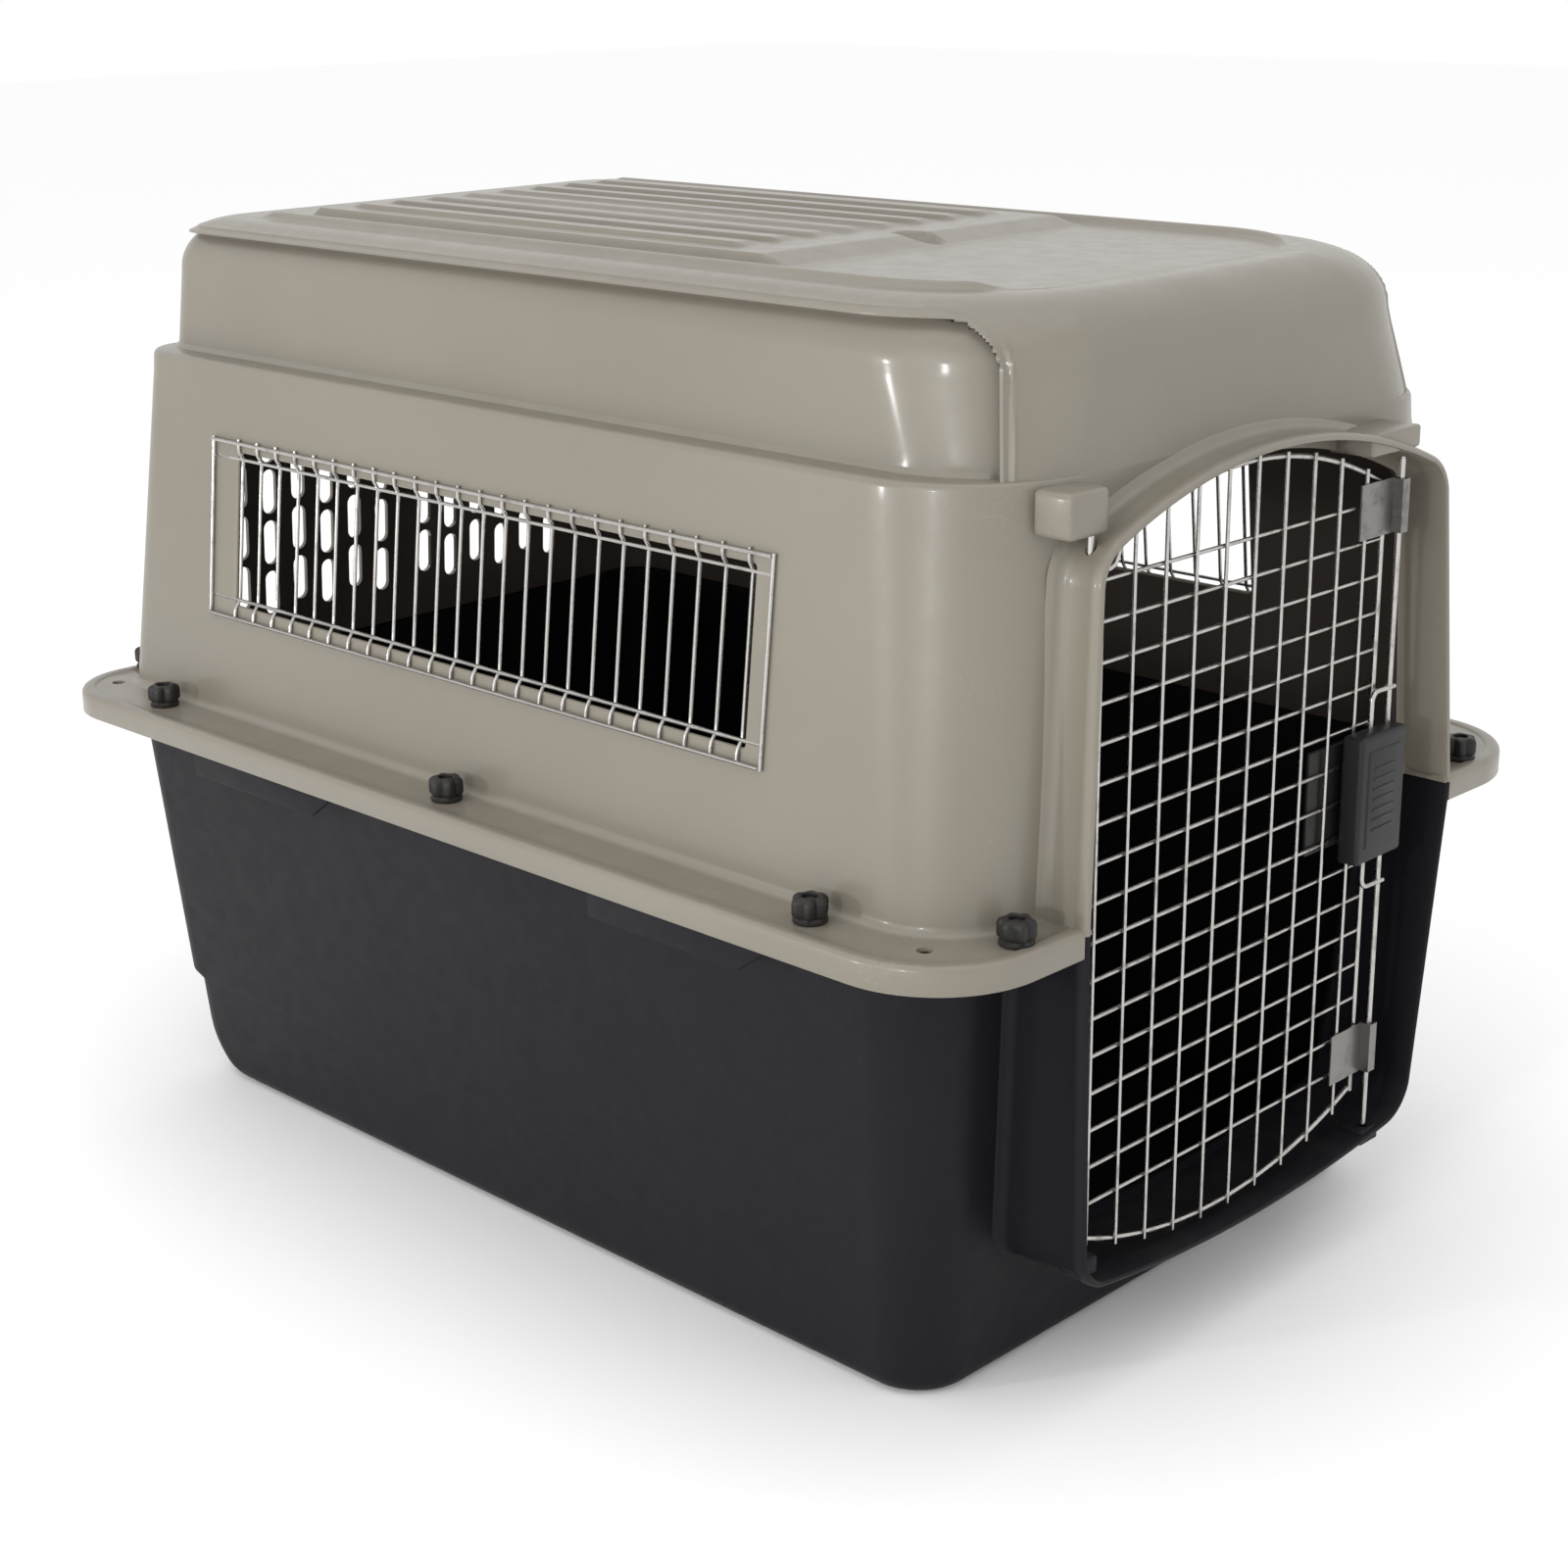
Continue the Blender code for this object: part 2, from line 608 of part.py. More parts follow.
def build_cover(material):
    """The taupe upper shell."""
    cover = add_object("top_shell", cover_body(), material)
    cavity = arch_prism(HOOD_TOP_RISE, HOOD_TOP_RADIUS, 1, HOOD_WALL - 0.0002,
                        *HOOD_CUT_X, -0.02)
    apply_cut(cover, add_object("cover_hood_cavity", cavity), "DIFFERENCE")
    seat = bmesh.new()
    seat_half = HOOD_HALF + 2 * GAP
    add_box(seat, (HOOD_CUT_X[0], -seat_half, SEAM_Z - 0.002),
            (HOOD_CUT_X[1], seat_half, SEAM_Z + SEAT_RISE))
    apply_cut(cover, add_object("cover_hood_seat", seat), "DIFFERENCE")
    hood = hood_band(HOOD_TOP_RISE, HOOD_TOP_RADIUS, 1, cover_wall_x, SEAT_RISE)
    apply_cut(cover, add_object("cover_hood", hood), "UNION")
    apply_cut(cover, add_object("cover_bosses", hood_bosses(COVER_BOSSES)), "UNION")
    doorway = arch_prism(HOOD_TOP_RISE, HOOD_TOP_RADIUS, 1, HOOD_WALL + DOORWAY_INSET,
                         *COVER_DOORWAY_X, -0.03)
    apply_cut(cover, add_object("cover_doorway", doorway), "DIFFERENCE")
    apply_cut(cover, add_object("window_cutter", side_windows()), "DIFFERENCE")
    apply_cut(cover, add_object("vent_cutter", vent_slots()), "DIFFERENCE")
    ribs = bmesh.new()
    top_z = SEAM_Z + PLATEAU_RISE
    for index in range(PLATEAU_RIBS):
        y = (index - (PLATEAU_RIBS - 1) / 2) * RIB_PITCH
        add_box(ribs, (RIB_SPAN_X[0], y - RIB_WIDTH / 2, top_z - 0.001),
                (RIB_SPAN_X[1], y + RIB_WIDTH / 2, HEIGHT))
    apply_cut(cover, add_object("plateau_ribs", ribs), "UNION")
    holes = shell_holes(COVER_HINGE_BORE, COVER_BOLT_BORE)
    apply_cut(cover, add_object("cover_holes", holes), "DIFFERENCE")
    return cover


# -------------------------------------------------------------- wire lattices
def lattice(builder, columns, rows, thickness):
    """A flat lattice in the local XY plane.

    `columns` and `rows` hold (middle, width) of each wire; the first and last
    of each form the frame.  Every mesh between them is an open hole.
    """
    def edges(wires):
        return [value for middle, width in wires for value in (middle - width / 2,
                                                               middle + width / 2)]
    across, along = edges(columns), edges(rows)
    layers = []
    for level in (-thickness / 2, thickness / 2):
        layers.append([[builder.verts.new((x, y, level)) for x in across] for y in along])

    def is_wire(column, row):
        return (column >= 0 and row >= 0 and column < len(across) - 1 and row < len(along) - 1
                and (column % 2 == 0 or row % 2 == 0))

    low, high = layers
    for row in range(len(along) - 1):
        for column in range(len(across) - 1):
            if not is_wire(column, row):
                continue
            corners = ((row, column), (row, column + 1), (row + 1, column + 1), (row + 1, column))
            builder.faces.new([high[r][c] for r, c in corners])
            builder.faces.new([low[r][c] for r, c in reversed(corners)])
            sides = ((0, 1, column, row - 1), (1, 2, column + 1, row),
                     (2, 3, column, row + 1), (3, 0, column - 1, row))
            for start, end, next_column, next_row in sides:
                if is_wire(next_column, next_row):
                    continue
                (r0, c0), (r1, c1) = corners[start], corners[end]
                builder.faces.new((low[r0][c0], low[r1][c1], high[r1][c1], high[r0][c0]))


def grille_frame_matrix(side):
    """Place of a window grille: its local X runs forward, its Y up the wall."""
    low = Vector((0.0, side * COVER_HALF, SEAM_Z + COVER_FOOT_RISE))
    high = Vector((0.0, side * SHOULDER_HALF, SEAM_Z + SHOULDER_RISE))
    up = (high - low).normalized()
    forward = Vector((1.0, 0.0, 0.0))
    outward = forward.cross(up)
    if outward.y * side < 0:
        outward = -outward
    rotation = Matrix((forward, up, outward)).transposed().to_4x4()
    return Matrix.Translation(low) @ rotation


def build_grille(name, side, material):
    """Welded wire grille over one side window."""
    low = WINDOW_LOW_RISE - COVER_FOOT_RISE
    high = WINDOW_HIGH_RISE - COVER_FOOT_RISE
    rows = [(low + step, GRILLE_WIRE) for step in GRILLE_FOOT_ROWS]
    rows += [(high + step, GRILLE_WIRE) for step in GRILLE_HEAD_ROWS]
    first, last = WINDOW_REAR_X + GRILLE_END_GAPS[0], WINDOW_FRONT_X - GRILLE_END_GAPS[1]
    pitch = (last - first) / (GRILLE_WIRES - 1)
    columns = [(GRILLE_REAR_X, GRILLE_WIRE)]
    columns += [(first + pitch * index, GRILLE_WIRE) for index in range(GRILLE_WIRES)]
    columns.append((GRILLE_FRONT_X, GRILLE_WIRE))
    builder = bmesh.new()
    lattice(builder, columns, rows, GRILLE_WIRE)
    place = grille_frame_matrix(side)
    lift = Matrix.Translation((0.0, 0.0, GRILLE_WIRE / 2 + 2 * GAP))
    bmesh.ops.transform(builder, matrix=place @ lift, verts=builder.verts)
    return add_object(name, builder, material)


def arc_drop(y, middle, radius):
    """How far an arc has fallen away from its crown at y."""
    return radius - math.sqrt(radius ** 2 - (y - middle) ** 2)


def door_edge_z(y, is_top, inset=0.0):
    """Height of the door's upper or lower arched edge."""
    middle = (HINGE_Y + DOOR_FREE_Y) / 2
    if is_top:
        arch_rise = DOOR_ARCH_RISE - inset - arc_drop(y, middle, DOOR_ARCH_RADIUS)
        foot_y, head_y = DOOR_CORNER_Y
        share = min(1.0, max(0.0, (y - foot_y) / (head_y - foot_y)))
        corner_rise = DOOR_CORNER_RISE - inset
        return SEAM_Z + corner_rise + (arch_rise - corner_rise) * share
    return SEAM_Z - DOOR_FOOT_DROP + inset + arc_drop(y, middle, DOOR_FOOT_RADIUS)


def door_stations(first_y):
    """Places across the door where its arched edges have a corner point."""
    steps = 9
    start_y = DOOR_CORNER_Y[1]
    return [first_y, DOOR_CORNER_Y[0]] + [start_y + (DOOR_FREE_Y - start_y) * i / steps
                                          for i in range(steps + 1)]


def door_outline():
    """Prism that trims the lattice to the door's arched shape."""
    ys = door_stations(HINGE_Y - 0.004)
    outline = [(y, door_edge_z(y, False)) for y in ys]
    outline += [(y, door_edge_z(y, True)) for y in reversed(ys)]
    return lofted([[(x, y, z) for y, z in outline] for x in (DOOR_X - 0.01, DOOR_X + 0.01)])


def door_arch(is_top):
    """The bent wire along the top or the foot of the door."""
    half_wire = DOOR_FRAME_WIRE / 2 - 0.0002
    rings = []
    for y in door_stations(HINGE_Y):
        z = door_edge_z(y, is_top)
        rings.append([(DOOR_X + dx * half_wire, y, z + dz * half_wire)
                      for dx, dz in ((-1, -1), (1, -1), (1, 1), (-1, 1))])
    return lofted(rings)


def build_door(material, parent):
    """The welded wire door with its hinge rod."""
    columns = [(HINGE_Y, DOOR_WIRE)]
    columns += [(DOOR_FIRST_COLUMN_Y + DOOR_PITCH_Y * i, DOOR_WIRE) for i in range(DOOR_COLUMNS)]
    columns.append((DOOR_FREE_Y - 0.0004, DOOR_WIRE))
    lowest = SEAM_Z + DOOR_TOP_ROW_RISE - DOOR_PITCH_Z * (DOOR_ROWS - 1)
    rows = [(SEAM_Z - 0.236, DOOR_WIRE)]
    rows += [(lowest + DOOR_PITCH_Z * i, DOOR_WIRE) for i in range(DOOR_ROWS)]
    rows.append((SEAM_Z + 0.275, DOOR_WIRE))
    builder = bmesh.new()
    lattice(builder, columns, rows, DOOR_WIRE)
    stand_up = Matrix(((0, 0, 1, DOOR_X), (1, 0, 0, 0), (0, 1, 0, 0), (0, 0, 0, 1)))
    bmesh.ops.transform(builder, matrix=stand_up, verts=builder.verts)
    door = add_object("wire_door", builder, material, parent)
    apply_cut(door, add_object("door_outline", door_outline()), "INTERSECT")
    for is_top in (True, False):
        name = "door_arch_top" if is_top else "door_arch_foot"
        apply_cut(door, add_object(name, door_arch(is_top)), "UNION")
    posts = bmesh.new()
    half_wire = DOOR_FRAME_WIRE / 2
    add_box(posts, (DOOR_X - half_wire, DOOR_FREE_Y - half_wire, door_edge_z(DOOR_FREE_Y, False)
                    - half_wire),
            (DOOR_X + half_wire, DOOR_FREE_Y + half_wire, door_edge_z(DOOR_FREE_Y, True) + half_wire))
    add_rod(posts, *[(DOOR_X, HINGE_Y, SEAM_Z + rise) for rise in HINGE_ROD], 0.0024)
    apply_cut(door, add_object("door_posts", posts), "UNION")
    return door


# ---------------------------------------------------------------- the latch
def build_housing(material, parent):
    """Front cover of the latch: a shallow box with slots for the bolts."""
    low_z, high_z = SEAM_Z + HOUSING_LOW_RISE, SEAM_Z + HOUSING_HIGH_RISE
    back_x = DOOR_X + DOOR_FRAME_WIRE / 2 + GAP
    builder = bmesh.new()
    add_box(builder, (back_x, HOUSING_NEAR_Y, low_z), (HOUSING_FRONT_X, HOUSING_FAR_Y, high_z))
    housing = add_object("latch_housing_front", builder, material, parent)
    hollow = bmesh.new()
    wall = HOUSING_WALL
    add_box(hollow, (back_x - 0.002, HOUSING_NEAR_Y + wall, low_z + wall),
            (HOUSING_FRONT_X - wall, HOUSING_FAR_Y - wall, high_z - wall))
    apply_cut(housing, add_object("housing_hollow", hollow), "DIFFERENCE")
    slot = bmesh.new()
    add_box(slot, (BOLT_X - 0.0030, BOLT_Y - GRIP_LEG_OFFSET - 0.0050, low_z - 0.01),
            (BOLT_X + 0.0030, BOLT_Y + 0.0030, high_z + 0.01))
    apply_cut(housing, add_object("housing_slot", slot), "DIFFERENCE")
    divider = bmesh.new()
    middle = (low_z + high_z) / 2
    add_box(divider, (back_x, HOUSING_NEAR_Y + wall / 2, middle - 0.001),
            (HOUSING_FRONT_X - wall / 2, HOUSING_FAR_Y - wall / 2, middle + 0.001))
    apply_cut(housing, add_object("housing_divider", divider), "UNION")
    return housing


def build_back_plate(material, parent):
    """Plate behind the wires that the housing is held to."""
    back_x = DOOR_X - DOOR_FRAME_WIRE / 2 - GAP
    builder = bmesh.new()
    (near_y, low_rise), (far_y, high_rise) = BACK_PLATE_LOW, BACK_PLATE_HIGH
    add_box(builder, (back_x - BACK_PLATE_DEPTH, near_y, SEAM_Z + low_rise),
            (back_x, far_y, SEAM_Z + high_rise))
    plate = add_object("latch_housing_back", builder, material, parent)
    bevel = plate.modifiers.new("soft_edges", "BEVEL")
    bevel.width = 0.0010
    bevel.segments = 1
    return plate


def bolt_body(sign, tip_z, material, name, parent):
    """One latch bolt: a straight rod with a bent finger grip and a collar."""
    middle = SEAM_Z + (HOUSING_LOW_RISE + HOUSING_HIGH_RISE) / 2
    housing_end = SEAM_Z + (HOUSING_HIGH_RISE if sign > 0 else HOUSING_LOW_RISE)
    inner_end = middle + sign * BOLT_INNER_REACH
    grip_z = housing_end + sign * GRIP_RISE
    leg_y = BOLT_Y - GRIP_LEG_OFFSET
    builder = bmesh.new()
    add_rod(builder, (BOLT_X, BOLT_Y, inner_end), (BOLT_X, BOLT_Y, tip_z), BOLT_RADIUS)
    bolt = add_object(name, builder, material, parent)
    thick = BOLT_RADIUS - 0.0002
    outer_z, inner_z = grip_z + sign * thick, grip_z - sign * thick
    foot_z = housing_end - sign * 0.008
    outline = [(leg_y - thick, foot_z), (leg_y - thick, outer_z), (BOLT_Y + 0.0005, outer_z),
               (BOLT_Y + 0.0005, inner_z), (leg_y + thick, inner_z), (leg_y + thick, foot_z)]
    grip = lofted([[(x, y, z) for y, z in outline] for x in (BOLT_X - thick, BOLT_X + thick)])
    merged = add_object(f"{name}_grip", grip)
    apply_cut(bolt, merged, "UNION")
    collar = bmesh.new()
    low, high = sorted((inner_end - sign * 0.0005, inner_end + sign * 0.0015))
    add_rod(collar, (BOLT_X, BOLT_Y, low), (BOLT_X, BOLT_Y, high), COLLAR_RADIUS)
    apply_cut(bolt, add_object(f"{name}_collar", collar), "UNION")
    return bolt


def spring_body(sign):
    """A coil spring between the housing's divider and a bolt's collar."""
    middle = SEAM_Z + (HOUSING_LOW_RISE + HOUSING_HIGH_RISE) / 2
    start = middle + sign * 0.0016
    end = middle + sign * 0.0200
    turns, steps, wire = 5, 10, SPRING_WIRE_RADIUS
    count = turns * steps
    rings = []
    for index in range(count + 1):
        angle = 2 * math.pi * index / steps
        radial = Vector((math.cos(angle), math.sin(angle), 0.0))
        z = start + sign * wire + (end - start - sign * 2 * wire) * index / count
        centre = Vector((BOLT_X, BOLT_Y, z)) + radial * SPRING_COIL_RADIUS
        rings.append([centre + radial * wire * math.cos(a) + Vector((0, 0, wire * math.sin(a)))
                      for a in (0.0, math.pi / 2, math.pi, 3 * math.pi / 2)])
    return lofted(rings)


def build_guide(name, low_rise, high_rise, material, parent):
    """Folded sheet guide, welded to the door, that a bolt slides through."""
    front_of_wires = DOOR_X + DOOR_FRAME_WIRE / 2 + GAP
    builder = bmesh.new()
    add_box(builder, (front_of_wires, BOLT_Y - GUIDE_REACH, SEAM_Z + low_rise),
            (front_of_wires + GUIDE_SHEET, BOLT_Y - 0.0030, SEAM_Z + high_rise))
    guide = add_object(name, builder, material, parent)
    sleeve = bmesh.new()
    half = GUIDE_SLEEVE_HALF
    add_box(sleeve, (BOLT_X - half, BOLT_Y - half, SEAM_Z + low_rise + 0.0005),
            (BOLT_X + half, BOLT_Y + half, SEAM_Z + high_rise - 0.0005))
    apply_cut(guide, add_object(f"{name}_sleeve", sleeve), "UNION")
    bore = bmesh.new()
    add_rod(bore, (BOLT_X, BOLT_Y, SEAM_Z + low_rise - 0.01),
            (BOLT_X, BOLT_Y, SEAM_Z + high_rise + 0.01), BOLT_RADIUS + 0.0006)
    apply_cut(guide, add_object(f"{name}_bore", bore), "DIFFERENCE")
    return guide


# ------------------------------------------------------------- the fasteners
def round_ring(radius, z, lobe=0.0):
    """Twelve points on a circle, every second one drawn in by `lobe`."""
    count = 12
    ring = []
    for index in range(count):
        angle = 2 * math.pi * index / count
        reach = radius - (lobe if index % 2 else 0.0)
        ring.append((reach * math.cos(angle), reach * math.sin(angle), z))
    return ring


def nut_mesh(material):
    """Lobed hand nut with a blind bore, its foot at z = 0."""
    bore = SHANK_RADIUS + 0.0005
    rings = [round_ring(bore, 0.0105), round_ring(bore, 0.0),
             round_ring(FASTENER_RADIUS, 0.0, 0.0014),
             round_ring(FASTENER_RADIUS, FASTENER_HEIGHT - 0.003, 0.0014),
             round_ring(FASTENER_RADIUS - 0.003, FASTENER_HEIGHT, 0.0010)]
    return closed_mesh("hand_nut", lofted(rings), material)


def bolt_mesh(material):
    """Flange bolt: a round head below and a shank that reaches into the nut."""
    shank_top = LIP_HEIGHT + GAP - FLANGE_LOW_RISE + 0.0095
    builder = lofted([round_ring(0.0056, -0.0040), round_ring(0.0064, -GAP),
                      round_ring(SHANK_RADIUS, -GAP), round_ring(SHANK_RADIUS, shank_top)])
    return closed_mesh("flange_bolt", builder, material)


def closed_mesh(name, builder, material):
    """A mesh that several objects share."""
    bmesh.ops.recalc_face_normals(builder, faces=builder.faces)
    mesh = bpy.data.meshes.new(name)
    builder.to_mesh(mesh)
    builder.free()
    mesh.materials.append(material)
    return mesh


def build_fasteners(nut_material, bolt_material):
    """Ten bolts through the two flanges, each with its own hand nut."""
    nut, bolt = nut_mesh(nut_material), bolt_mesh(bolt_material)
    nut_z = SEAM_Z + LIP_HEIGHT + GAP
    bolt_z = SEAM_Z + FLANGE_LOW_RISE
    for number, (x, y) in enumerate(fastener_places(), start=1):
        for label, mesh, z in (("hand_nut", nut, nut_z), ("flange_bolt", bolt, bolt_z)):
            item = bpy.data.objects.new(f"{label}_{number:02d}", mesh)
            item.location = (x, y, z)
            bpy.context.collection.objects.link(item)


# ------------------------------------------------------------------ assembly
def main():
    """Build the whole carrier."""
    clear_scene()
    taupe = plastic("taupe_plastic", (0.33, 0.295, 0.245), 0.42)
    dark = plastic("dark_plastic", (0.030, 0.028, 0.034), 0.50)
    black = plastic("black_nylon", (0.018, 0.017, 0.016), 0.55)
    zinc = steel("plated_wire", (0.62, 0.61, 0.58), 0.28)
    build_tub(dark)
    build_cover(taupe)
    build_grille("left_window_grille", 1, zinc)
    build_grille("right_window_grille", -1, zinc)
    hinge = joint_empty("door_hinge_axis", (DOOR_X, HINGE_Y, SEAM_Z))
    build_door(zinc, hinge)
    build_housing(black, hinge)
    build_back_plate(black, hinge)
    for label, rises in GUIDE_RISES.items():
        build_guide(f"{label}_rod_guide", *rises, zinc, hinge)
    for name, sign, tip_rise in (("lower", -1, BOLT_TIPS[0]), ("upper", 1, BOLT_TIPS[1])):
        bolt_body(sign, SEAM_Z + tip_rise, zinc, f"{name}_bolt", hinge)
        add_object(f"{name}_spring", spring_body(sign), zinc, hinge)
    build_fasteners(black, black)


main()
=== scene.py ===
"""Looks of a pet transport carrier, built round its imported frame.

Two moulded shells meet at a bolted flange.  Welded wire grilles close the side
windows, and a welded wire door with a squeeze latch hangs in the front hood.
Metres, +Z up, +X towards the door.
"""

from __future__ import annotations

import json
import logging
import math
from collections.abc import Callable, Sequence
from dataclasses import dataclass
from enum import Enum

import bmesh
import bpy
from mathutils import Matrix, Vector

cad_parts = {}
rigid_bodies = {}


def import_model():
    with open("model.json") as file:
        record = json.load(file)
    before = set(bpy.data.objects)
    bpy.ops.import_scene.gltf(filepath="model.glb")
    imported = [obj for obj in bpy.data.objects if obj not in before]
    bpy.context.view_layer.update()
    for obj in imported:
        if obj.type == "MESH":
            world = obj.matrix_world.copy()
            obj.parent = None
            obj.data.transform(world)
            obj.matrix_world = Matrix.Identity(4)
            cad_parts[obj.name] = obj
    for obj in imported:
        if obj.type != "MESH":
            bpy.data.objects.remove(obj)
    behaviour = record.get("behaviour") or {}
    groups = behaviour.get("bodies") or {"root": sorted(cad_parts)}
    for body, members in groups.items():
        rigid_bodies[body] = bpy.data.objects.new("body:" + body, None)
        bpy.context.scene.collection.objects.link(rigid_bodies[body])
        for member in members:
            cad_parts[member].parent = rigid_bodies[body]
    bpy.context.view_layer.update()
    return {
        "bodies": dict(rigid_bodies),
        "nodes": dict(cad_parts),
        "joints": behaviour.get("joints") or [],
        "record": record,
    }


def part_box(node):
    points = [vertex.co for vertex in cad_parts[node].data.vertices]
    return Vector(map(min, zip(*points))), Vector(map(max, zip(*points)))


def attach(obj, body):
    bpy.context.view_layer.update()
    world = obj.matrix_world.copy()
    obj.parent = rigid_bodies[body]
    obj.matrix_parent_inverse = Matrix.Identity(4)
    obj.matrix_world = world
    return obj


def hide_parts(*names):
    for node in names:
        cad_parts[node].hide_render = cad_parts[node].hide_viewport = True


LOG = logging.getLogger("carrier")

SEAM_Z = 0.310
"""Height of the lower edge of the cover's flange lip."""
HEIGHT = 0.686
"""Height of the whole carrier."""
LIP_HEIGHT = 0.018
"""How far the flange lip reaches up from the seam."""
LIP_TOP = SEAM_Z + LIP_HEIGHT
SEAT_RISE = 0.014
"""Underside of the cover's flange plate, from the seam."""
FLANGE_LOW_RISE = 0.0087
"""Underside of the tub's flange, from the seam."""
SHARP_DEG = 38.0
"""Edges that turn by more than this stay sharp."""
CURVED_SHARP_DEG = 30.0
"""The same for the hood and the nuts, whose curves are finely divided."""
BORE_SIDES = 24

Point = tuple[float, float, float]
Ring = list[Point]


# ------------------------------------------------------------------ materials
def new_group(name: str, inputs: dict[str, float], outputs: Sequence[str]) -> bpy.types.NodeTree:
    """Make an empty shader node group.

    Args:
        name: the group's name.
        inputs: each float input with its default value.
        outputs: names of the float outputs.

    Returns:
        The node group, with its input and output nodes placed.
    """
    group = bpy.data.node_groups.new(name, "ShaderNodeTree")
    group.interface.new_socket("Vector", in_out="INPUT", socket_type="NodeSocketVector")
    for label, value in inputs.items():
        socket = group.interface.new_socket(label, in_out="INPUT", socket_type="NodeSocketFloat")
        socket.default_value = value
    for label in outputs:
        group.interface.new_socket(label, in_out="OUTPUT", socket_type="NodeSocketFloat")
    group.nodes.new("NodeGroupInput").name = "entry"
    group.nodes.new("NodeGroupOutput").name = "result"
    return group


class Graph:
    """Short ways to add and join nodes in one node tree."""

    def __init__(self, tree: bpy.types.NodeTree) -> None:
        """Hold the tree to work in."""
        self.tree = tree

    def node(self, kind: str, **settings: object) -> bpy.types.Node:
        """Add a node and set its properties."""
        made = self.tree.nodes.new(kind)
        for key, value in settings.items():
            setattr(made, key, value)
        return made

    def join(self, source: bpy.types.NodeSocket, target: bpy.types.NodeSocket) -> None:
        """Link two sockets."""
        self.tree.links.new(source, target)

    def feed(self, value: object, target: bpy.types.NodeSocket) -> None:
        """Link a socket, or set a plain value."""
        if isinstance(value, bpy.types.NodeSocket):
            self.join(value, target)
        else:
            target.default_value = value

    def maths(self, operation: str, first: object, second: object = 0.0) -> bpy.types.NodeSocket:
        """Add a Math node and return its result."""
        made = self.node("ShaderNodeMath", operation=operation)
        self.feed(first, made.inputs[0])
        self.feed(second, made.inputs[1])
        return made.outputs[0]

    def noise(self, vector: object, scale: object, detail: float, rough: float = 0.55
              ) -> bpy.types.NodeSocket:
        """Add a noise texture and return its factor."""
        made = self.node("ShaderNodeTexNoise")
        self.feed(vector, made.inputs["Vector"])
        self.feed(scale, made.inputs["Scale"])
        made.inputs["Detail"].default_value = detail
        made.inputs["Roughness"].default_value = rough
        return made.outputs["Fac"]

    def stretch(self, vector: object, scale: Point) -> bpy.types.NodeSocket:
        """Scale a vector along its axes."""
        made = self.node("ShaderNodeMapping")
        self.feed(vector, made.inputs["Vector"])
        made.inputs["Scale"].default_value = scale
        return made.outputs["Vector"]

    def band(self, value: object, low: float, high: float, out_low: float = 0.0,
             out_high: float = 1.0) -> bpy.types.NodeSocket:
        """Map a value from one range to another, smoothly and clamped."""
        made = self.node("ShaderNodeMapRange", interpolation_type="SMOOTHSTEP")
        self.feed(value, made.inputs["Value"])
        for label, number in (("From Min", low), ("From Max", high), ("To Min", out_low),
                              ("To Max", out_high)):
            made.inputs[label].default_value = number
        return made.outputs["Result"]

    def blend(self, factor: object, first: object, second: object) -> bpy.types.NodeSocket:
        """Mix two colours."""
        made = self.node("ShaderNodeMix", data_type="RGBA")
        self.feed(factor, made.inputs["Factor"])
        self.feed(first, made.inputs["A"])
        self.feed(second, made.inputs["B"])
        return made.outputs["Result"]

    def place(self, group: bpy.types.NodeTree, vector: object, **values: float) -> bpy.types.Node:
        """Place a node group and set its inputs."""
        made = self.node("ShaderNodeGroup")
        made.node_tree = group
        self.feed(vector, made.inputs["Vector"])
        for label, value in values.items():
            made.inputs[label].default_value = value
        return made


def mould_grain() -> bpy.types.NodeTree:
    """Fine pebbled grain of a textured mould, with a slow ripple of the wall.

    Returns:
        A group with the output Height.
    """
    group = new_group("mould_grain", {"Scale": 900.0, "Ripple": 0.3}, ["Height"])
    graph = Graph(group)
    entry, result = group.nodes["entry"], group.nodes["result"]
    vector = entry.outputs["Vector"]
    cells = graph.node("ShaderNodeTexVoronoi", feature="SMOOTH_F1")
    graph.join(vector, cells.inputs["Vector"])
    graph.join(entry.outputs["Scale"], cells.inputs["Scale"])
    fine = graph.noise(vector, entry.outputs["Scale"], 3.0)
    pebble = graph.maths("MULTIPLY_ADD", cells.outputs["Distance"], 0.7)
    graph.join(fine, pebble.node.inputs[2])
    slow = graph.noise(vector, 14.0, 2.0)
    ripple = graph.maths("MULTIPLY", slow, entry.outputs["Ripple"])
    graph.join(graph.maths("ADD", pebble, ripple), result.inputs["Height"])
    return group


def handling_wear() -> bpy.types.NodeTree:
    """Patches of fine scuffs with thin scratches in them.

    Returns:
        A group with the outputs Scuff and Scratch.
    """
    group = new_group("handling_wear", {"Amount": 0.5}, ["Scuff", "Scratch"])
    graph = Graph(group)
    entry, result = group.nodes["entry"], group.nodes["result"]
    vector = entry.outputs["Vector"]
    patches = graph.band(graph.noise(vector, 9.0, 6.0, 0.62), 0.52, 0.74)
    speckle = graph.band(graph.noise(vector, 420.0, 4.0, 0.7), 0.50, 0.72)
    scuff = graph.maths("MULTIPLY", patches, speckle)
    lines = graph.noise(graph.stretch(vector, (30.0, 30.0, 900.0)), 1.0, 3.0, 0.6)
    across = graph.noise(graph.stretch(vector, (700.0, 500.0, 25.0)), 1.0, 3.0, 0.6)
    thin = graph.maths("MAXIMUM", graph.band(lines, 0.66, 0.70), graph.band(across, 0.67, 0.71))
    scratch = graph.maths("MULTIPLY", thin, patches)
    for source, label in ((scuff, "Scuff"), (scratch, "Scratch")):
        graph.join(graph.maths("MULTIPLY", source, entry.outputs["Amount"]), result.inputs[label])
    return group


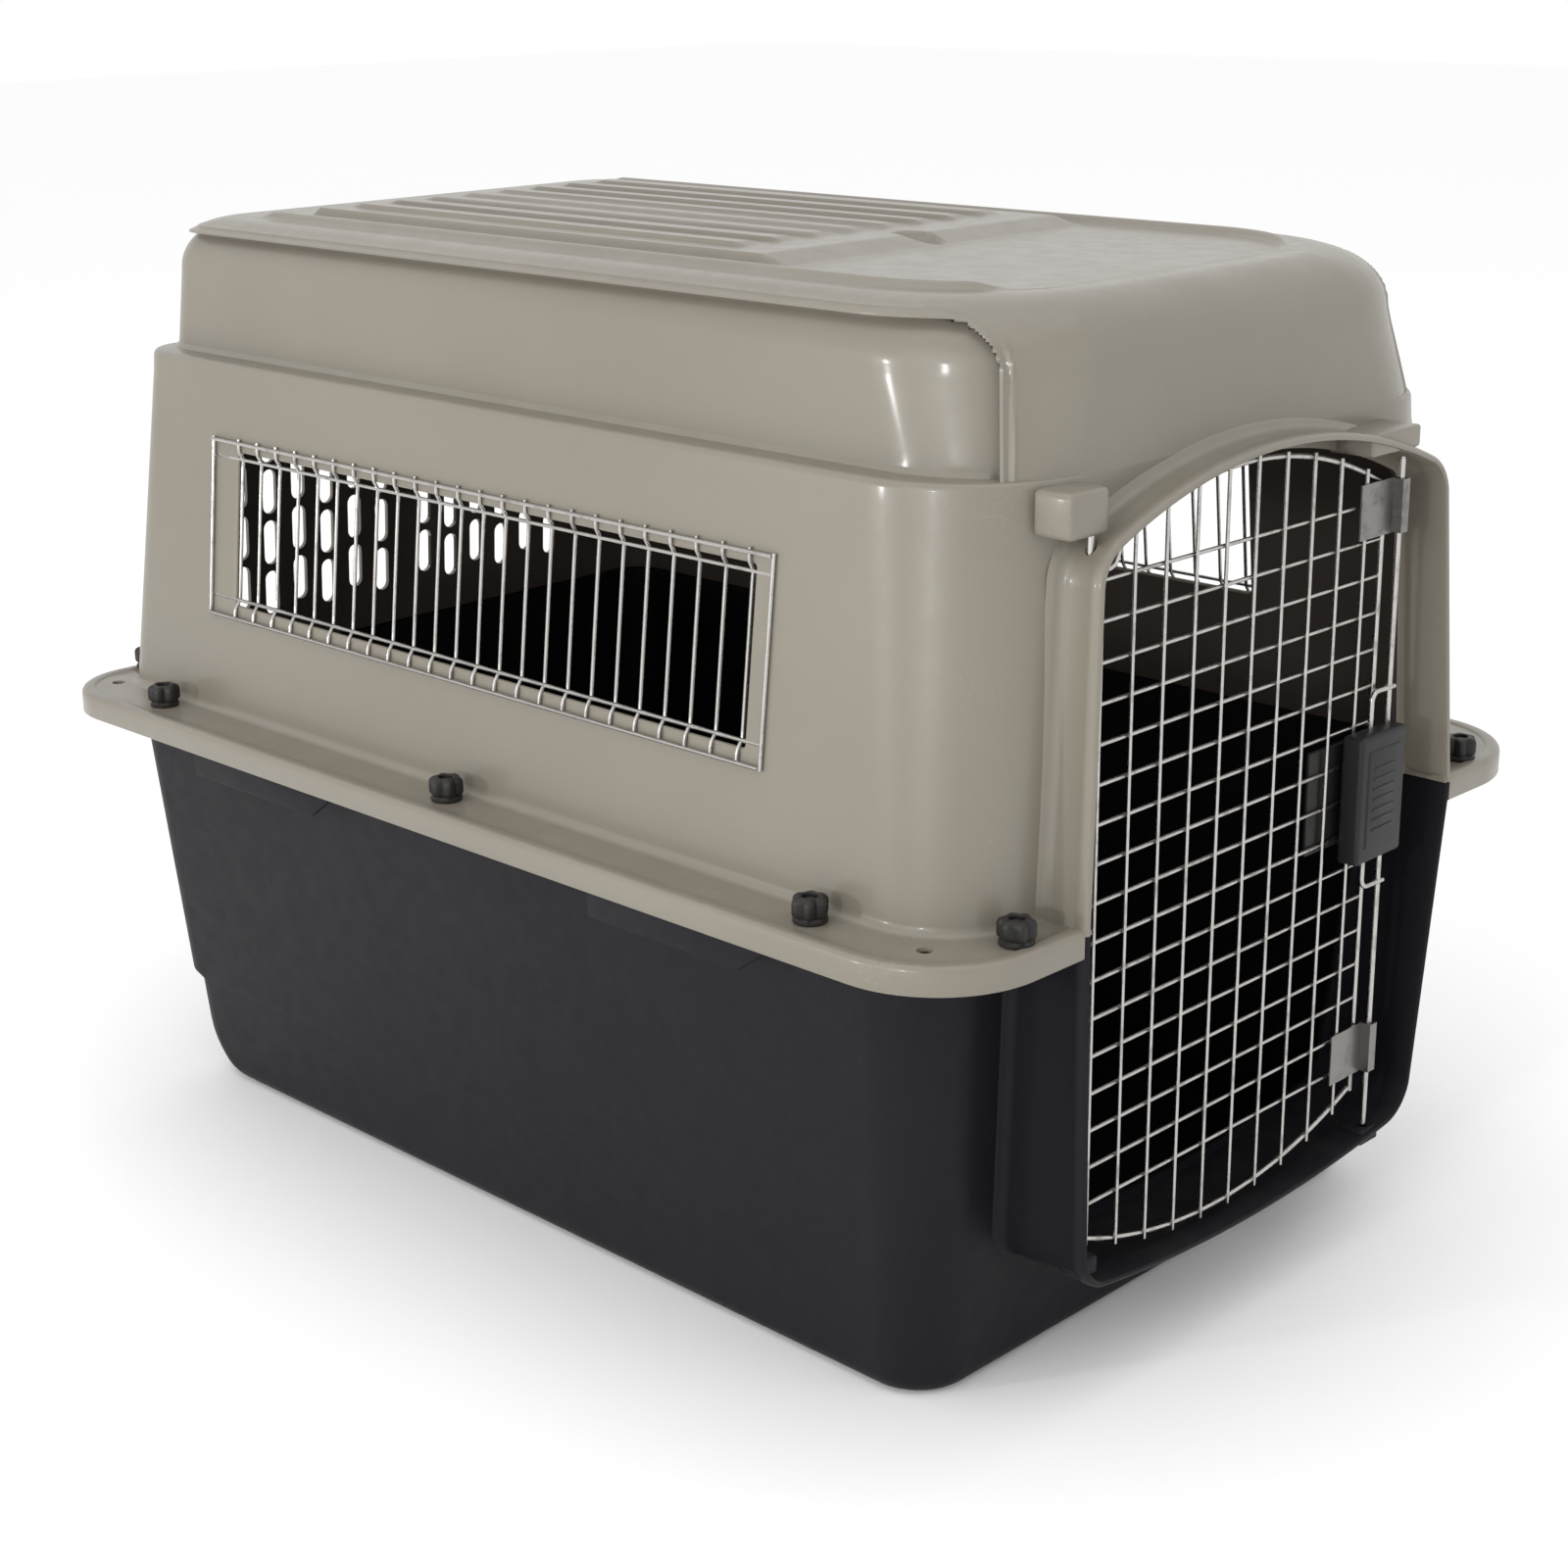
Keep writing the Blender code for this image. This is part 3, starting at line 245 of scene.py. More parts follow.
def settled_dust() -> bpy.types.NodeTree:
    """Dust that lies on surfaces facing up.

    Returns:
        A group with the output Dust.
    """
    group = new_group("settled_dust", {"Amount": 0.3}, ["Dust"])
    graph = Graph(group)
    entry, result = group.nodes["entry"], group.nodes["result"]
    facing = graph.node("ShaderNodeNewGeometry")
    split = graph.node("ShaderNodeSeparateXYZ")
    graph.join(facing.outputs["Normal"], split.inputs["Vector"])
    up = graph.band(split.outputs["Z"], 0.35, 0.95)
    cloud = graph.band(graph.noise(entry.outputs["Vector"], 26.0, 7.0, 0.65), 0.35, 0.75)
    lying = graph.maths("MULTIPLY", up, cloud)
    graph.join(graph.maths("MULTIPLY", lying, entry.outputs["Amount"]), result.inputs["Dust"])
    return group


class Effects:
    """The shader groups that several finishes share."""

    def __init__(self) -> None:
        """Build each group once."""
        self.grain = mould_grain()
        self.wear = handling_wear()
        self.dust = settled_dust()


DUST_COLOR = (0.42, 0.39, 0.35, 1.0)
COAT_ROUGHNESS = 0.13
PLATING_GRAIN = 0.00005


@dataclass(frozen=True)
class PlasticFinish:
    """A moulded plastic.

    Attributes:
        name: the material's name.
        color: its base colour, linear.
        tint: the colour it drifts to in slow patches.
        scuff: the colour of scuffed plastic.
        roughness: mean roughness.
        grain: height of the mould grain, in metres.
        scale: grain cells for each metre.
        ripple: share of the slow ripple in the grain.
        wear: how much scuffing shows.
        dust: how much dust lies on it.
        specular: specular level.
        coat: weight of the glossy skin that the polished mould leaves.
    """

    name: str
    color: Point
    tint: Point
    scuff: Point
    roughness: float
    grain: float
    scale: float
    ripple: float
    wear: float
    dust: float
    specular: float = 0.5
    coat: float = 0.0

    def build(self, effects: Effects) -> bpy.types.Material:
        """Make the material.

        Args:
            effects: the shared shader groups.

        Returns:
            The finished material.
        """
        material = bpy.data.materials.new(self.name)
        material.use_nodes = True
        graph = Graph(material.node_tree)
        shader = material.node_tree.nodes["Principled BSDF"]
        place = graph.node("ShaderNodeTexCoord").outputs["Object"]
        drift = graph.band(graph.noise(place, 5.0, 4.0), 0.30, 0.70)
        wear = graph.place(effects.wear, place, Amount=self.wear)
        dust = graph.place(effects.dust, place, Amount=self.dust)
        plain = graph.blend(drift, (*self.color, 1.0), (*self.tint, 1.0))
        scuffed = graph.blend(wear.outputs["Scuff"], plain, (*self.scuff, 1.0))
        scratched = graph.blend(wear.outputs["Scratch"], scuffed, (*self.scuff, 1.0))
        dusty = graph.blend(dust.outputs["Dust"], scratched, DUST_COLOR)
        graph.join(dusty, shader.inputs["Base Color"])
        mottle = graph.noise(place, 60.0, 5.0, 0.6)
        rough = graph.band(mottle, 0.25, 0.75, self.roughness - 0.04, self.roughness + 0.05)
        worn = graph.maths("MULTIPLY_ADD", wear.outputs["Scuff"], 0.25)
        graph.join(rough, worn.node.inputs[2])
        settled = graph.maths("MULTIPLY_ADD", dust.outputs["Dust"], 0.35)
        graph.join(worn, settled.node.inputs[2])
        graph.join(settled, shader.inputs["Roughness"])
        shader.inputs["Specular IOR Level"].default_value = self.specular
        shader.inputs["Coat Weight"].default_value = self.coat
        shader.inputs["Coat Roughness"].default_value = COAT_ROUGHNESS
        grain = graph.place(effects.grain, place, Scale=self.scale, Ripple=self.ripple)
        bump = graph.node("ShaderNodeBump")
        bump.inputs["Distance"].default_value = self.grain
        bump.inputs["Strength"].default_value = 0.8
        graph.join(grain.outputs["Height"], bump.inputs["Height"])
        graph.join(bump.outputs["Normal"], shader.inputs["Normal"])
        return material


@dataclass(frozen=True)
class PlatedFinish:
    """Bright zinc plating on steel wire or sheet.

    Attributes:
        name: the material's name.
        color: the plating's colour.
        stain: the colour of duller, stained plating.
        roughness: roughness of the brightest plating.
        stained: how much of the surface is stained.
    """

    name: str
    color: Point
    stain: Point
    roughness: float
    stained: float

    def build(self, effects: Effects) -> bpy.types.Material:
        """Make the material.

        Args:
            effects: the shared shader groups.

        Returns:
            The finished material.
        """
        material = bpy.data.materials.new(self.name)
        material.use_nodes = True
        graph = Graph(material.node_tree)
        shader = material.node_tree.nodes["Principled BSDF"]
        place = graph.node("ShaderNodeTexCoord").outputs["Object"]
        cloud = graph.band(graph.noise(place, 70.0, 6.0, 0.65), 0.60 - 0.3 * self.stained, 0.80)
        specks = graph.band(graph.noise(place, 900.0, 3.0, 0.6), 0.55, 0.75)
        dull = graph.maths("MAXIMUM", cloud, graph.maths("MULTIPLY", specks, 0.35))
        color = graph.blend(dull, (*self.color, 1.0), (*self.stain, 1.0))
        graph.join(color, shader.inputs["Base Color"])
        wear = graph.place(effects.wear, place, Amount=self.stained)
        rough = graph.band(dull, 0.0, 1.0, self.roughness, self.roughness + 0.24)
        scratched = graph.maths("MULTIPLY_ADD", wear.outputs["Scratch"], 0.2)
        graph.join(rough, scratched.node.inputs[2])
        graph.join(scratched, shader.inputs["Roughness"])
        shader.inputs["Metallic"].default_value = 1.0
        bump = graph.node("ShaderNodeBump")
        bump.inputs["Distance"].default_value = PLATING_GRAIN
        bump.inputs["Strength"].default_value = 0.6
        graph.join(graph.noise(place, 1600.0, 2.0), bump.inputs["Height"])
        graph.join(bump.outputs["Normal"], shader.inputs["Normal"])
        return material


class Palette:
    """Every finish of the carrier, and two darker copies of its plastics that paint shade inside."""

    def __init__(self) -> None:
        """Build the shared groups and the materials."""
        effects = Effects()
        self.taupe = PlasticFinish(
            "taupe_polypropylene", (0.202, 0.183, 0.147), (0.190, 0.171, 0.137),
            (0.31, 0.285, 0.245), 0.36, 0.00006, 1500.0, 0.25, 0.30, 0.10, 0.4, 0.22).build(effects)
        self.dark = PlasticFinish(
            "dark_polypropylene", (0.0085, 0.0075, 0.0100), (0.0068, 0.0060, 0.0080),
            (0.034, 0.032, 0.035), 0.50, 0.00007, 1400.0, 0.25, 0.30, 0.02, 0.15).build(effects)
        # The next two are darker copies of the taupe and the dark plastic for the faces inside the
        # cabin: painted shade, since the inside is the same plastic in shadow.
        self.inside = PlasticFinish(
            "taupe_painted_shade", (0.062, 0.050, 0.043), (0.050, 0.040, 0.034),
            (0.080, 0.066, 0.056), 0.60, 0.00006, 1500.0, 0.25, 0.10, 0.0, 0.12).build(effects)
        self.painted_shade_dark = PlasticFinish(
            "dark_painted_shade", (0.0060, 0.0056, 0.0060), (0.0050, 0.0046, 0.0050),
            (0.012, 0.011, 0.012), 0.62, 0.00006, 1500.0, 0.25, 0.10, 0.0, 0.08).build(effects)
        self.nylon = PlasticFinish(
            "black_nylon", (0.0090, 0.0084, 0.0080), (0.0130, 0.0120, 0.0112),
            (0.05, 0.047, 0.045), 0.46, 0.00008, 1900.0, 0.1, 0.35, 0.04, 0.35).build(effects)
        self.latch = PlasticFinish(
            "latch_nylon", (0.0135, 0.0130, 0.0145), (0.0110, 0.0105, 0.0115),
            (0.06, 0.06, 0.06), 0.44, 0.00007, 1700.0, 0.1, 0.35, 0.02, 0.30).build(effects)
        self.zinc = PlatedFinish("plated_wire", (0.50, 0.485, 0.465), (0.24, 0.228, 0.215), 0.26,
                                 0.45).build(effects)
        self.sheet = PlatedFinish("plated_sheet", (0.24, 0.232, 0.222), (0.13, 0.125, 0.118), 0.34,
                                  0.5).build(effects)


class Slot(Enum):
    """Material slots of the record."""

    TAUPE = "taupe_shell"
    DARK = "dark_shell"
    NYLON = "black_nylon"
    WIRE = "plated_wire"


# ------------------------------------------------------------- mesh modelling
def smoothstep(value: float) -> float:
    """Ease a value between 0 and 1."""
    clamped = min(1.0, max(0.0, value))
    return clamped * clamped * (3.0 - 2.0 * clamped)


def skin(builder: bmesh.types.BMesh, rings: Sequence[Sequence[Point]]) -> None:
    """Extrude a ring through a row of outlines, and close both ends with a face.

    Args:
        builder: the mesh to add to.
        rings: closed outlines with equal numbers of points.
    """
    verts = [builder.verts.new(point) for point in rings[0]]
    edges = [builder.edges.new(pair) for pair in zip(verts, verts[1:] + verts[:1])]
    first = edges
    for ring in rings[1:]:
        made = bmesh.ops.extrude_edge_only(builder, edges=edges)["geom"]
        fresh = {item for item in made if isinstance(item, bmesh.types.BMVert)}
        verts = [next(edge.other_vert(vert) for edge in vert.link_edges
                      if edge.other_vert(vert) in fresh) for vert in verts]
        for vert, point in zip(verts, ring):
            vert.co = point
        edges = [builder.edges.get(pair) for pair in zip(verts, verts[1:] + verts[:1])]
    for loop in (first, edges):
        bmesh.ops.contextual_create(builder, geom=loop)


def sweep(builder: bmesh.types.BMesh, path: Sequence[Vector], radius: float, sides: int = 10
          ) -> None:
    """Add a round wire along a path, closed at both ends."""
    loops = []
    points = [Vector(point) for point in path]
    for index, point in enumerate(points):
        before, after = points[max(index - 1, 0)], points[min(index + 1, len(points) - 1)]
        turn = (after - before).to_track_quat("Z", "Y").to_matrix().to_4x4()
        made = bmesh.ops.create_circle(builder, cap_ends=index in (0, len(points) - 1),
                                       segments=sides, radius=radius,
                                       matrix=Matrix.Translation(point) @ turn)
        verts = set(made["verts"])
        loops.append([edge for edge in {e for v in verts for e in v.link_edges}
                      if edge.verts[0] in verts and edge.verts[1] in verts])
    for lower, upper in zip(loops, loops[1:]):
        bmesh.ops.bridge_loops(builder, edges=lower + upper)


def arc(centre: tuple[float, float], radius: float, start_deg: float, end_deg: float, steps: int
        ) -> list[tuple[float, float]]:
    """Points of an arc in a plane, ends included."""
    angles = [math.radians(start_deg + (end_deg - start_deg) * i / steps) for i in range(steps + 1)]
    return [(centre[0] + radius * math.cos(a), centre[1] + radius * math.sin(a)) for a in angles]


def soft_box(builder: bmesh.types.BMesh, low: Point, high: Point, radius: float = 0.0,
             segments: int = 3) -> None:
    """Add a box, with rounded edges where a radius is given."""
    centre = (Vector(low) + Vector(high)) / 2
    size = Vector(high) - Vector(low)
    matrix = Matrix.Translation(centre) @ Matrix.Diagonal((*size, 1.0))
    verts = bmesh.ops.create_cube(builder, size=1.0, matrix=matrix)["verts"]
    if radius > 0:
        edges = list({edge for vert in verts for edge in vert.link_edges})
        bmesh.ops.bevel(builder, geom=edges, offset=radius, offset_type="OFFSET",
                        segments=segments, profile=0.5, affect="EDGES", material=-1)


def raised(point: Point) -> Point:
    """A point given by its rise from the seam, as a place."""
    return (point[0], point[1], SEAM_Z + point[2])


def mesh_piece(name: str, builder: bmesh.types.BMesh, material: bpy.types.Material,
               sharp_deg: float = SHARP_DEG) -> bpy.types.Object:
    """Turn a bmesh into a shaded object.

    Args:
        name: the piece's name.
        builder: its mesh, in place; it is freed.
        material: its finish.
        sharp_deg: edges that turn by more than this stay sharp.

    Returns:
        The new object.
    """
    bmesh.ops.remove_doubles(builder, verts=builder.verts, dist=0.00001)
    bmesh.ops.recalc_face_normals(builder, faces=builder.faces)
    shade(builder, sharp_deg)
    mesh = bpy.data.meshes.new(name)
    builder.to_mesh(mesh)
    builder.free()
    mesh.materials.append(material)
    item = bpy.data.objects.new(name, mesh)
    bpy.context.scene.collection.objects.link(item)
    return item


def shade(builder: bmesh.types.BMesh, sharp_deg: float) -> None:
    """Shade a mesh smooth, with sharp edges past an angle."""
    limit = math.radians(sharp_deg)
    for face in builder.faces:
        face.smooth = True
    for edge in builder.edges:
        edge.smooth = edge.calc_face_angle(0.0) < limit


def carve(item: bpy.types.Object, cutters: Sequence[bmesh.types.BMesh]) -> None:
    """Cut openings in a closed shell, and keep the result as its mesh.

    Args:
        item: the shell, whose faces point outwards.
        cutters: closed shapes to take away.
    """
    helpers = []
    for cutter in cutters:
        bmesh.ops.recalc_face_normals(cutter, faces=cutter.faces)
        mesh = bpy.data.meshes.new("cutter")
        cutter.to_mesh(mesh)
        cutter.free()
        helper = bpy.data.objects.new("cutter", mesh)
        bpy.context.scene.collection.objects.link(helper)
        helpers.append(helper)
        modifier = item.modifiers.new("opening", "BOOLEAN")
        modifier.operation = "DIFFERENCE"
        modifier.solver = "EXACT"
        modifier.object = helper
    bpy.context.view_layer.update()
    evaluated = item.evaluated_get(bpy.context.evaluated_depsgraph_get())
    carved = bpy.data.meshes.new_from_object(evaluated)
    item.modifiers.clear()
    old = item.data
    item.data = carved
    bpy.data.meshes.remove(old)
    for helper in helpers:
        bpy.data.meshes.remove(helper.data)
    builder = bmesh.new()
    builder.from_mesh(carved)
    bmesh.ops.dissolve_degenerate(builder, dist=0.00002, edges=builder.edges)
    shade(builder, SHARP_DEG)
    builder.to_mesh(carved)
    builder.free()


def paint_inner_shade(item: bpy.types.Object, material: bpy.types.Material,
                is_inside: Callable[[Vector, Vector], bool]) -> None:
    """Paint shade on the faces that look into the cabin, with a darker copy of the shell's plastic.

    Args:
        item: the shell.
        material: the darker copy of the plastic, painted shade for its inner faces.
        is_inside: tells from a face's middle and normal whether it looks inwards.
    """
    item.data.materials.append(material)
    for face in item.data.polygons:
        if is_inside(face.center, face.normal):
            face.material_index = 1


def prism(outline: Sequence[tuple[float, float]], low: float, high: float, axis: int
          ) -> bmesh.types.BMesh:
    """A closed prism: an outline in the other two axes, run along one axis."""
    builder = bmesh.new()

    def spot(pair: tuple[float, float], depth: float) -> Point:
        values = list(pair)
        values.insert(axis, depth)
        return (values[0], values[1], values[2])

    skin(builder, [[spot(pair, depth) for pair in outline] for depth in (low, high)])
    return builder


def rounded_rectangle(low: tuple[float, float], high: tuple[float, float], radius: float,
                      steps: int = 5) -> list[tuple[float, float]]:
    """Outline of a rectangle with rounded corners."""
    corners = (((high[0] - radius, high[1] - radius), 0), ((low[0] + radius, high[1] - radius), 90),
               ((low[0] + radius, low[1] + radius), 180), ((high[0] - radius, low[1] + radius), 270))
    outline = []
    for centre, start in corners:
        outline += arc(centre, radius, start, start + 90, steps)
    return outline


def bore(builder: bmesh.types.BMesh, x: float, y: float, radius: float, middle_rise: float,
         depth: float) -> None:
    """Add one upright round cutter."""
    bmesh.ops.create_cone(builder, cap_ends=True, segments=BORE_SIDES, radius1=radius,
                          radius2=radius, depth=depth,
                          matrix=Matrix.Translation((x, y, SEAM_Z + middle_rise)))


def bores(places: Sequence[tuple[float, float, float, tuple[float, float]]]
          ) -> bmesh.types.BMesh:
    """Cutters for the hinge rod and a bolt.

    Args:
        places: middle x and y, radius, and lower and upper rise of each.

    Returns:
        All the cutters in one mesh.
    """
    builder = bmesh.new()
    for x, y, radius, (low, high) in places:
        bore(builder, x, y, radius, (low + high) / 2, high - low)
    return builder


TIE_HOLES = ((0.406, 0.280), (-0.424, 0.280))
"""Middles of the front and rear holes, each on both sides."""
TIE_RADIUS = 0.005
TIE_DEPTH = 0.03


def tie_holes() -> bmesh.types.BMesh:
    """Cutters for the tie holes that run through both flanges."""
    builder = bmesh.new()
    for x, y in TIE_HOLES:
        for side in (-1, 1):
            bore(builder, x, side * y, TIE_RADIUS, SEAT_RISE, TIE_DEPTH)
    return builder


COVER_BORES = ((0.433, -0.172, 0.0034, (0.196, 0.262)), (0.4395, 0.1395, 0.0032, (0.216, 0.256)))
TUB_BORES = ((0.433, -0.172, 0.0034, (-0.240, -0.195)), (0.4395, 0.1395, 0.0032, (-0.245, -0.205)))
COVER_BOSSES = (((0.4120, -0.1990, 0.2420), (0.4400, -0.1640, 0.2690), 0.0036),
                ((0.4120, 0.0950, 0.2470), (0.4455, 0.1500, 0.2615), 0.0022))
"""Lower and upper corners, with rises from the seam, and edge radius of each block."""
TUB_BOSSES = (((0.4270, -0.1790, -0.2185), (0.4440, -0.1620, -0.2065), 0.0018),
              ((0.4270, 0.1290, -0.2365), (0.4455, 0.1500, -0.2255), 0.0018))


def build_bosses(name: str, blocks: Sequence[tuple[Point, Point, float]],
                 cutters: bmesh.types.BMesh, material: bpy.types.Material) -> bpy.types.Object:
    """Build the blocks that take the hinge rod and a bolt.

    Args:
        name: the piece's name.
        blocks: corners and edge radius of each block.
        cutters: the bores through them.
        material: their finish.

    Returns:
        The new piece.
    """
    builder = bmesh.new()
    for low, high, radius in blocks:
        soft_box(builder, raised(low), raised(high), radius)
    bosses = mesh_piece(name, builder, material)
    carve(bosses, [cutters])
    return bosses


# --------------------------------------------------------------- plan outline
@dataclass(frozen=True)
class Plan:
    """Plan of a shell at one height.

    Attributes:
        front_x: the front wall's outer face.
        rear_x: the rear wall's outer face.
        half: half the width.
        front_radius: radius of the front corners.
        rear_radius: radius of the rear corners.
    """

    front_x: float
    rear_x: float
    half: float
    front_radius: float
    rear_radius: float

    def grown(self, step: float) -> Plan:
        """The same plan, offset outwards."""
        return Plan(self.front_x + step, self.rear_x - step, self.half + step,
                    self.front_radius + step, self.rear_radius + step)

    def towards(self, other: Plan, share: float) -> Plan:
        """A plan part of the way to another."""
        mine = (self.front_x, self.rear_x, self.half, self.front_radius, self.rear_radius)
        theirs = (other.front_x, other.rear_x, other.half, other.front_radius, other.rear_radius)
        return Plan(*[a + (b - a) * share for a, b in zip(mine, theirs)])


FRONT_ANGLES = ([i * 5.0 for i in range(6)] + [28.0 + i for i in range(24)]
                + [55.0 + i * 5.0 for i in range(8)])
"""Angles of the points round a front corner, close together where the step lies."""
REAR_ANGLES = [90.0 + i * 9.0 for i in range(11)]
RIDGE_WIDTH = 0.0016


@dataclass(frozen=True)
class Relief:
    """The side panel, pressed in behind a ridged border.

    Attributes:
        depth: how far the panel lies in.
        step_deg: where the border ends on the front corner.
        radius: radius of the panel's upper front corner.
        soft: width over which the step runs.
        band: width of the ridged border.
        ridge: height of its two ridges.
    """

    depth: float = 0.0
    step_deg: float = 42.0
    radius: float = 0.035
    soft: float = 0.0026
    band: float = 0.0095
    ridge: float = 0.0019

    def inside(self, along: float, below: float) -> float:
        """Distance inside the panel's border, from the ways in from its front and top."""
        if along >= self.radius and below >= self.radius:
            return min(along, below)
        return self.radius - math.hypot(max(self.radius - along, 0.0),
                                        max(self.radius - below, 0.0))

    def sunk(self, along: float, below: float) -> float:
        """How far the surface lies in at a place (less than nothing on a ridge)."""
        inside = self.inside(along, below)
        sunk = self.depth * smoothstep(inside / self.soft)
        for middle in (-0.0018, -self.band + RIDGE_WIDTH):
            sunk -= self.ridge * math.exp(-(((inside - middle) / RIDGE_WIDTH) ** 2))
        return sunk


def plan_ring(plan: Plan, z: float, relief: Relief | None = None, below: float = 1.0) -> Ring:
    """The points of a plan at one height.

    Args:
        plan: the outline.
        z: its height.
        relief: the side panel's relief, if the wall has one.
        below: distance down the wall from the panel's upper border.

    Returns:
        The ring, from the front middle's left side round to its right side.
    """
    corner = (plan.front_x - plan.front_radius, plan.half - plan.front_radius)
    half_ring: list[tuple[float, float]] = []
    for angle_deg in FRONT_ANGLES:
        angle = math.radians(angle_deg)
        out = Vector((math.cos(angle), math.sin(angle)))
        point = Vector(corner) + out * plan.front_radius
        if relief:
            along = math.radians(angle_deg - relief.step_deg) * plan.front_radius
            sunk = relief.sunk(along, below)
            push = Vector((0.0, 1.0)) if sunk > 0 else out
            point -= push * sunk
        half_ring.append((point.x, point.y))
    sink = relief.sunk(1.0, below) if relief else 0.0
    centre = (plan.rear_x + plan.rear_radius, plan.half - plan.rear_radius - sink)
    for angle_deg in REAR_ANGLES:
        angle = math.radians(angle_deg)
        half_ring.append((centre[0] + plan.rear_radius * math.cos(angle),
                          centre[1] + plan.rear_radius * math.sin(angle)))
    both = half_ring + [(x, -y) for x, y in reversed(half_ring)]
    return [(x, y, z) for x, y in both]


FLANGE = Plan(0.4555, -0.457, 0.3175, 0.075, 0.057)
COVER_FOOT = Plan(0.4225, -0.4305, 0.2715, 0.060, 0.032)
COVER_SHOULDER = Plan(0.4185, -0.4145, 0.2445, 0.090, 0.032)
DOME_FOOT = Plan(0.4182, -0.4143, 0.2365, 0.090, 0.032)
EAVES = Plan(0.4110, -0.4070, 0.2300, 0.105, 0.032)
TUB_TOP = Plan(0.4000, -0.4260, 0.2720, 0.052, 0.032)
TUB_FOOT = Plan(0.3725, -0.4205, 0.2420, 0.040, 0.032)
FOOT_RISE = 0.024
SHOULDER_RISE = 0.263
LEDGE_RISE = SHOULDER_RISE + 0.0085
EAVES_RISE = 0.329
ROOF_RISE = 0.367
ROOF_EDGE = 0.038
"""Radius of the rounding between the dome's walls and the roof."""
PANEL_DEPTH = 0.0145
"""How far the dome's side panel is pressed in at its foot."""
PANEL_TAPER = 0.0035
"""How much less that is at the eaves."""
PANEL_TOP_DEPTH = 0.0110
PANEL_TOP_DROP = 0.0125
"""How far the panel's upper border lies under the roof."""
PANEL_BLEND = 0.004
INNER_REAR_RADIUS = 0.028
WALL = 0.0035
WALL_OVERLAP = 0.003
LIP_ROUND = 0.004
"""Radius of the flange lip's upper edge."""
WALL_FILLET = 0.006
SHOULDER_ROUND = 0.0045
TUB_FLANGE_THICK = 0.0046
IN_FRONT_X = 0.4700
"""Past the foremost point of the carrier, where the cutters end."""


def cover_wall_x(z: float) -> float:
    """Front face of the cover's wall at a height."""
    slope = (COVER_FOOT.front_x - COVER_SHOULDER.front_x) / (SHOULDER_RISE - FOOT_RISE)
    return COVER_FOOT.front_x - slope * (z - SEAM_Z - FOOT_RISE)


def tub_wall_x(z: float) -> float:
    """Front face of the tub's wall at a height."""
    return TUB_FOOT.front_x + (TUB_TOP.front_x - TUB_FOOT.front_x) * z / SEAM_Z


# ------------------------------------------------------------------- the hood
RIM_PROFILE = ((-0.0100, 0.0), (-0.0088, 0.0006), (-0.0050, 0.0008), (-0.0022, 0.0004),
               (-0.0007, -0.0006), (0.0, -0.0022), (-0.0009, -0.0036), (-0.0030, -0.0042))
"""Points of the rolled rim: distance in front of it, and distance outwards."""
HOOD_SIDE_STEPS = 9
HOOD_CORNER_STEPS = 14
SEAM_GAP = 0.0003
"""Play between the two halves of the hood."""


class Half(Enum):
    """The two halves of the hood, with the way each runs from the seam."""

    COVER = 1
    TUB = -1


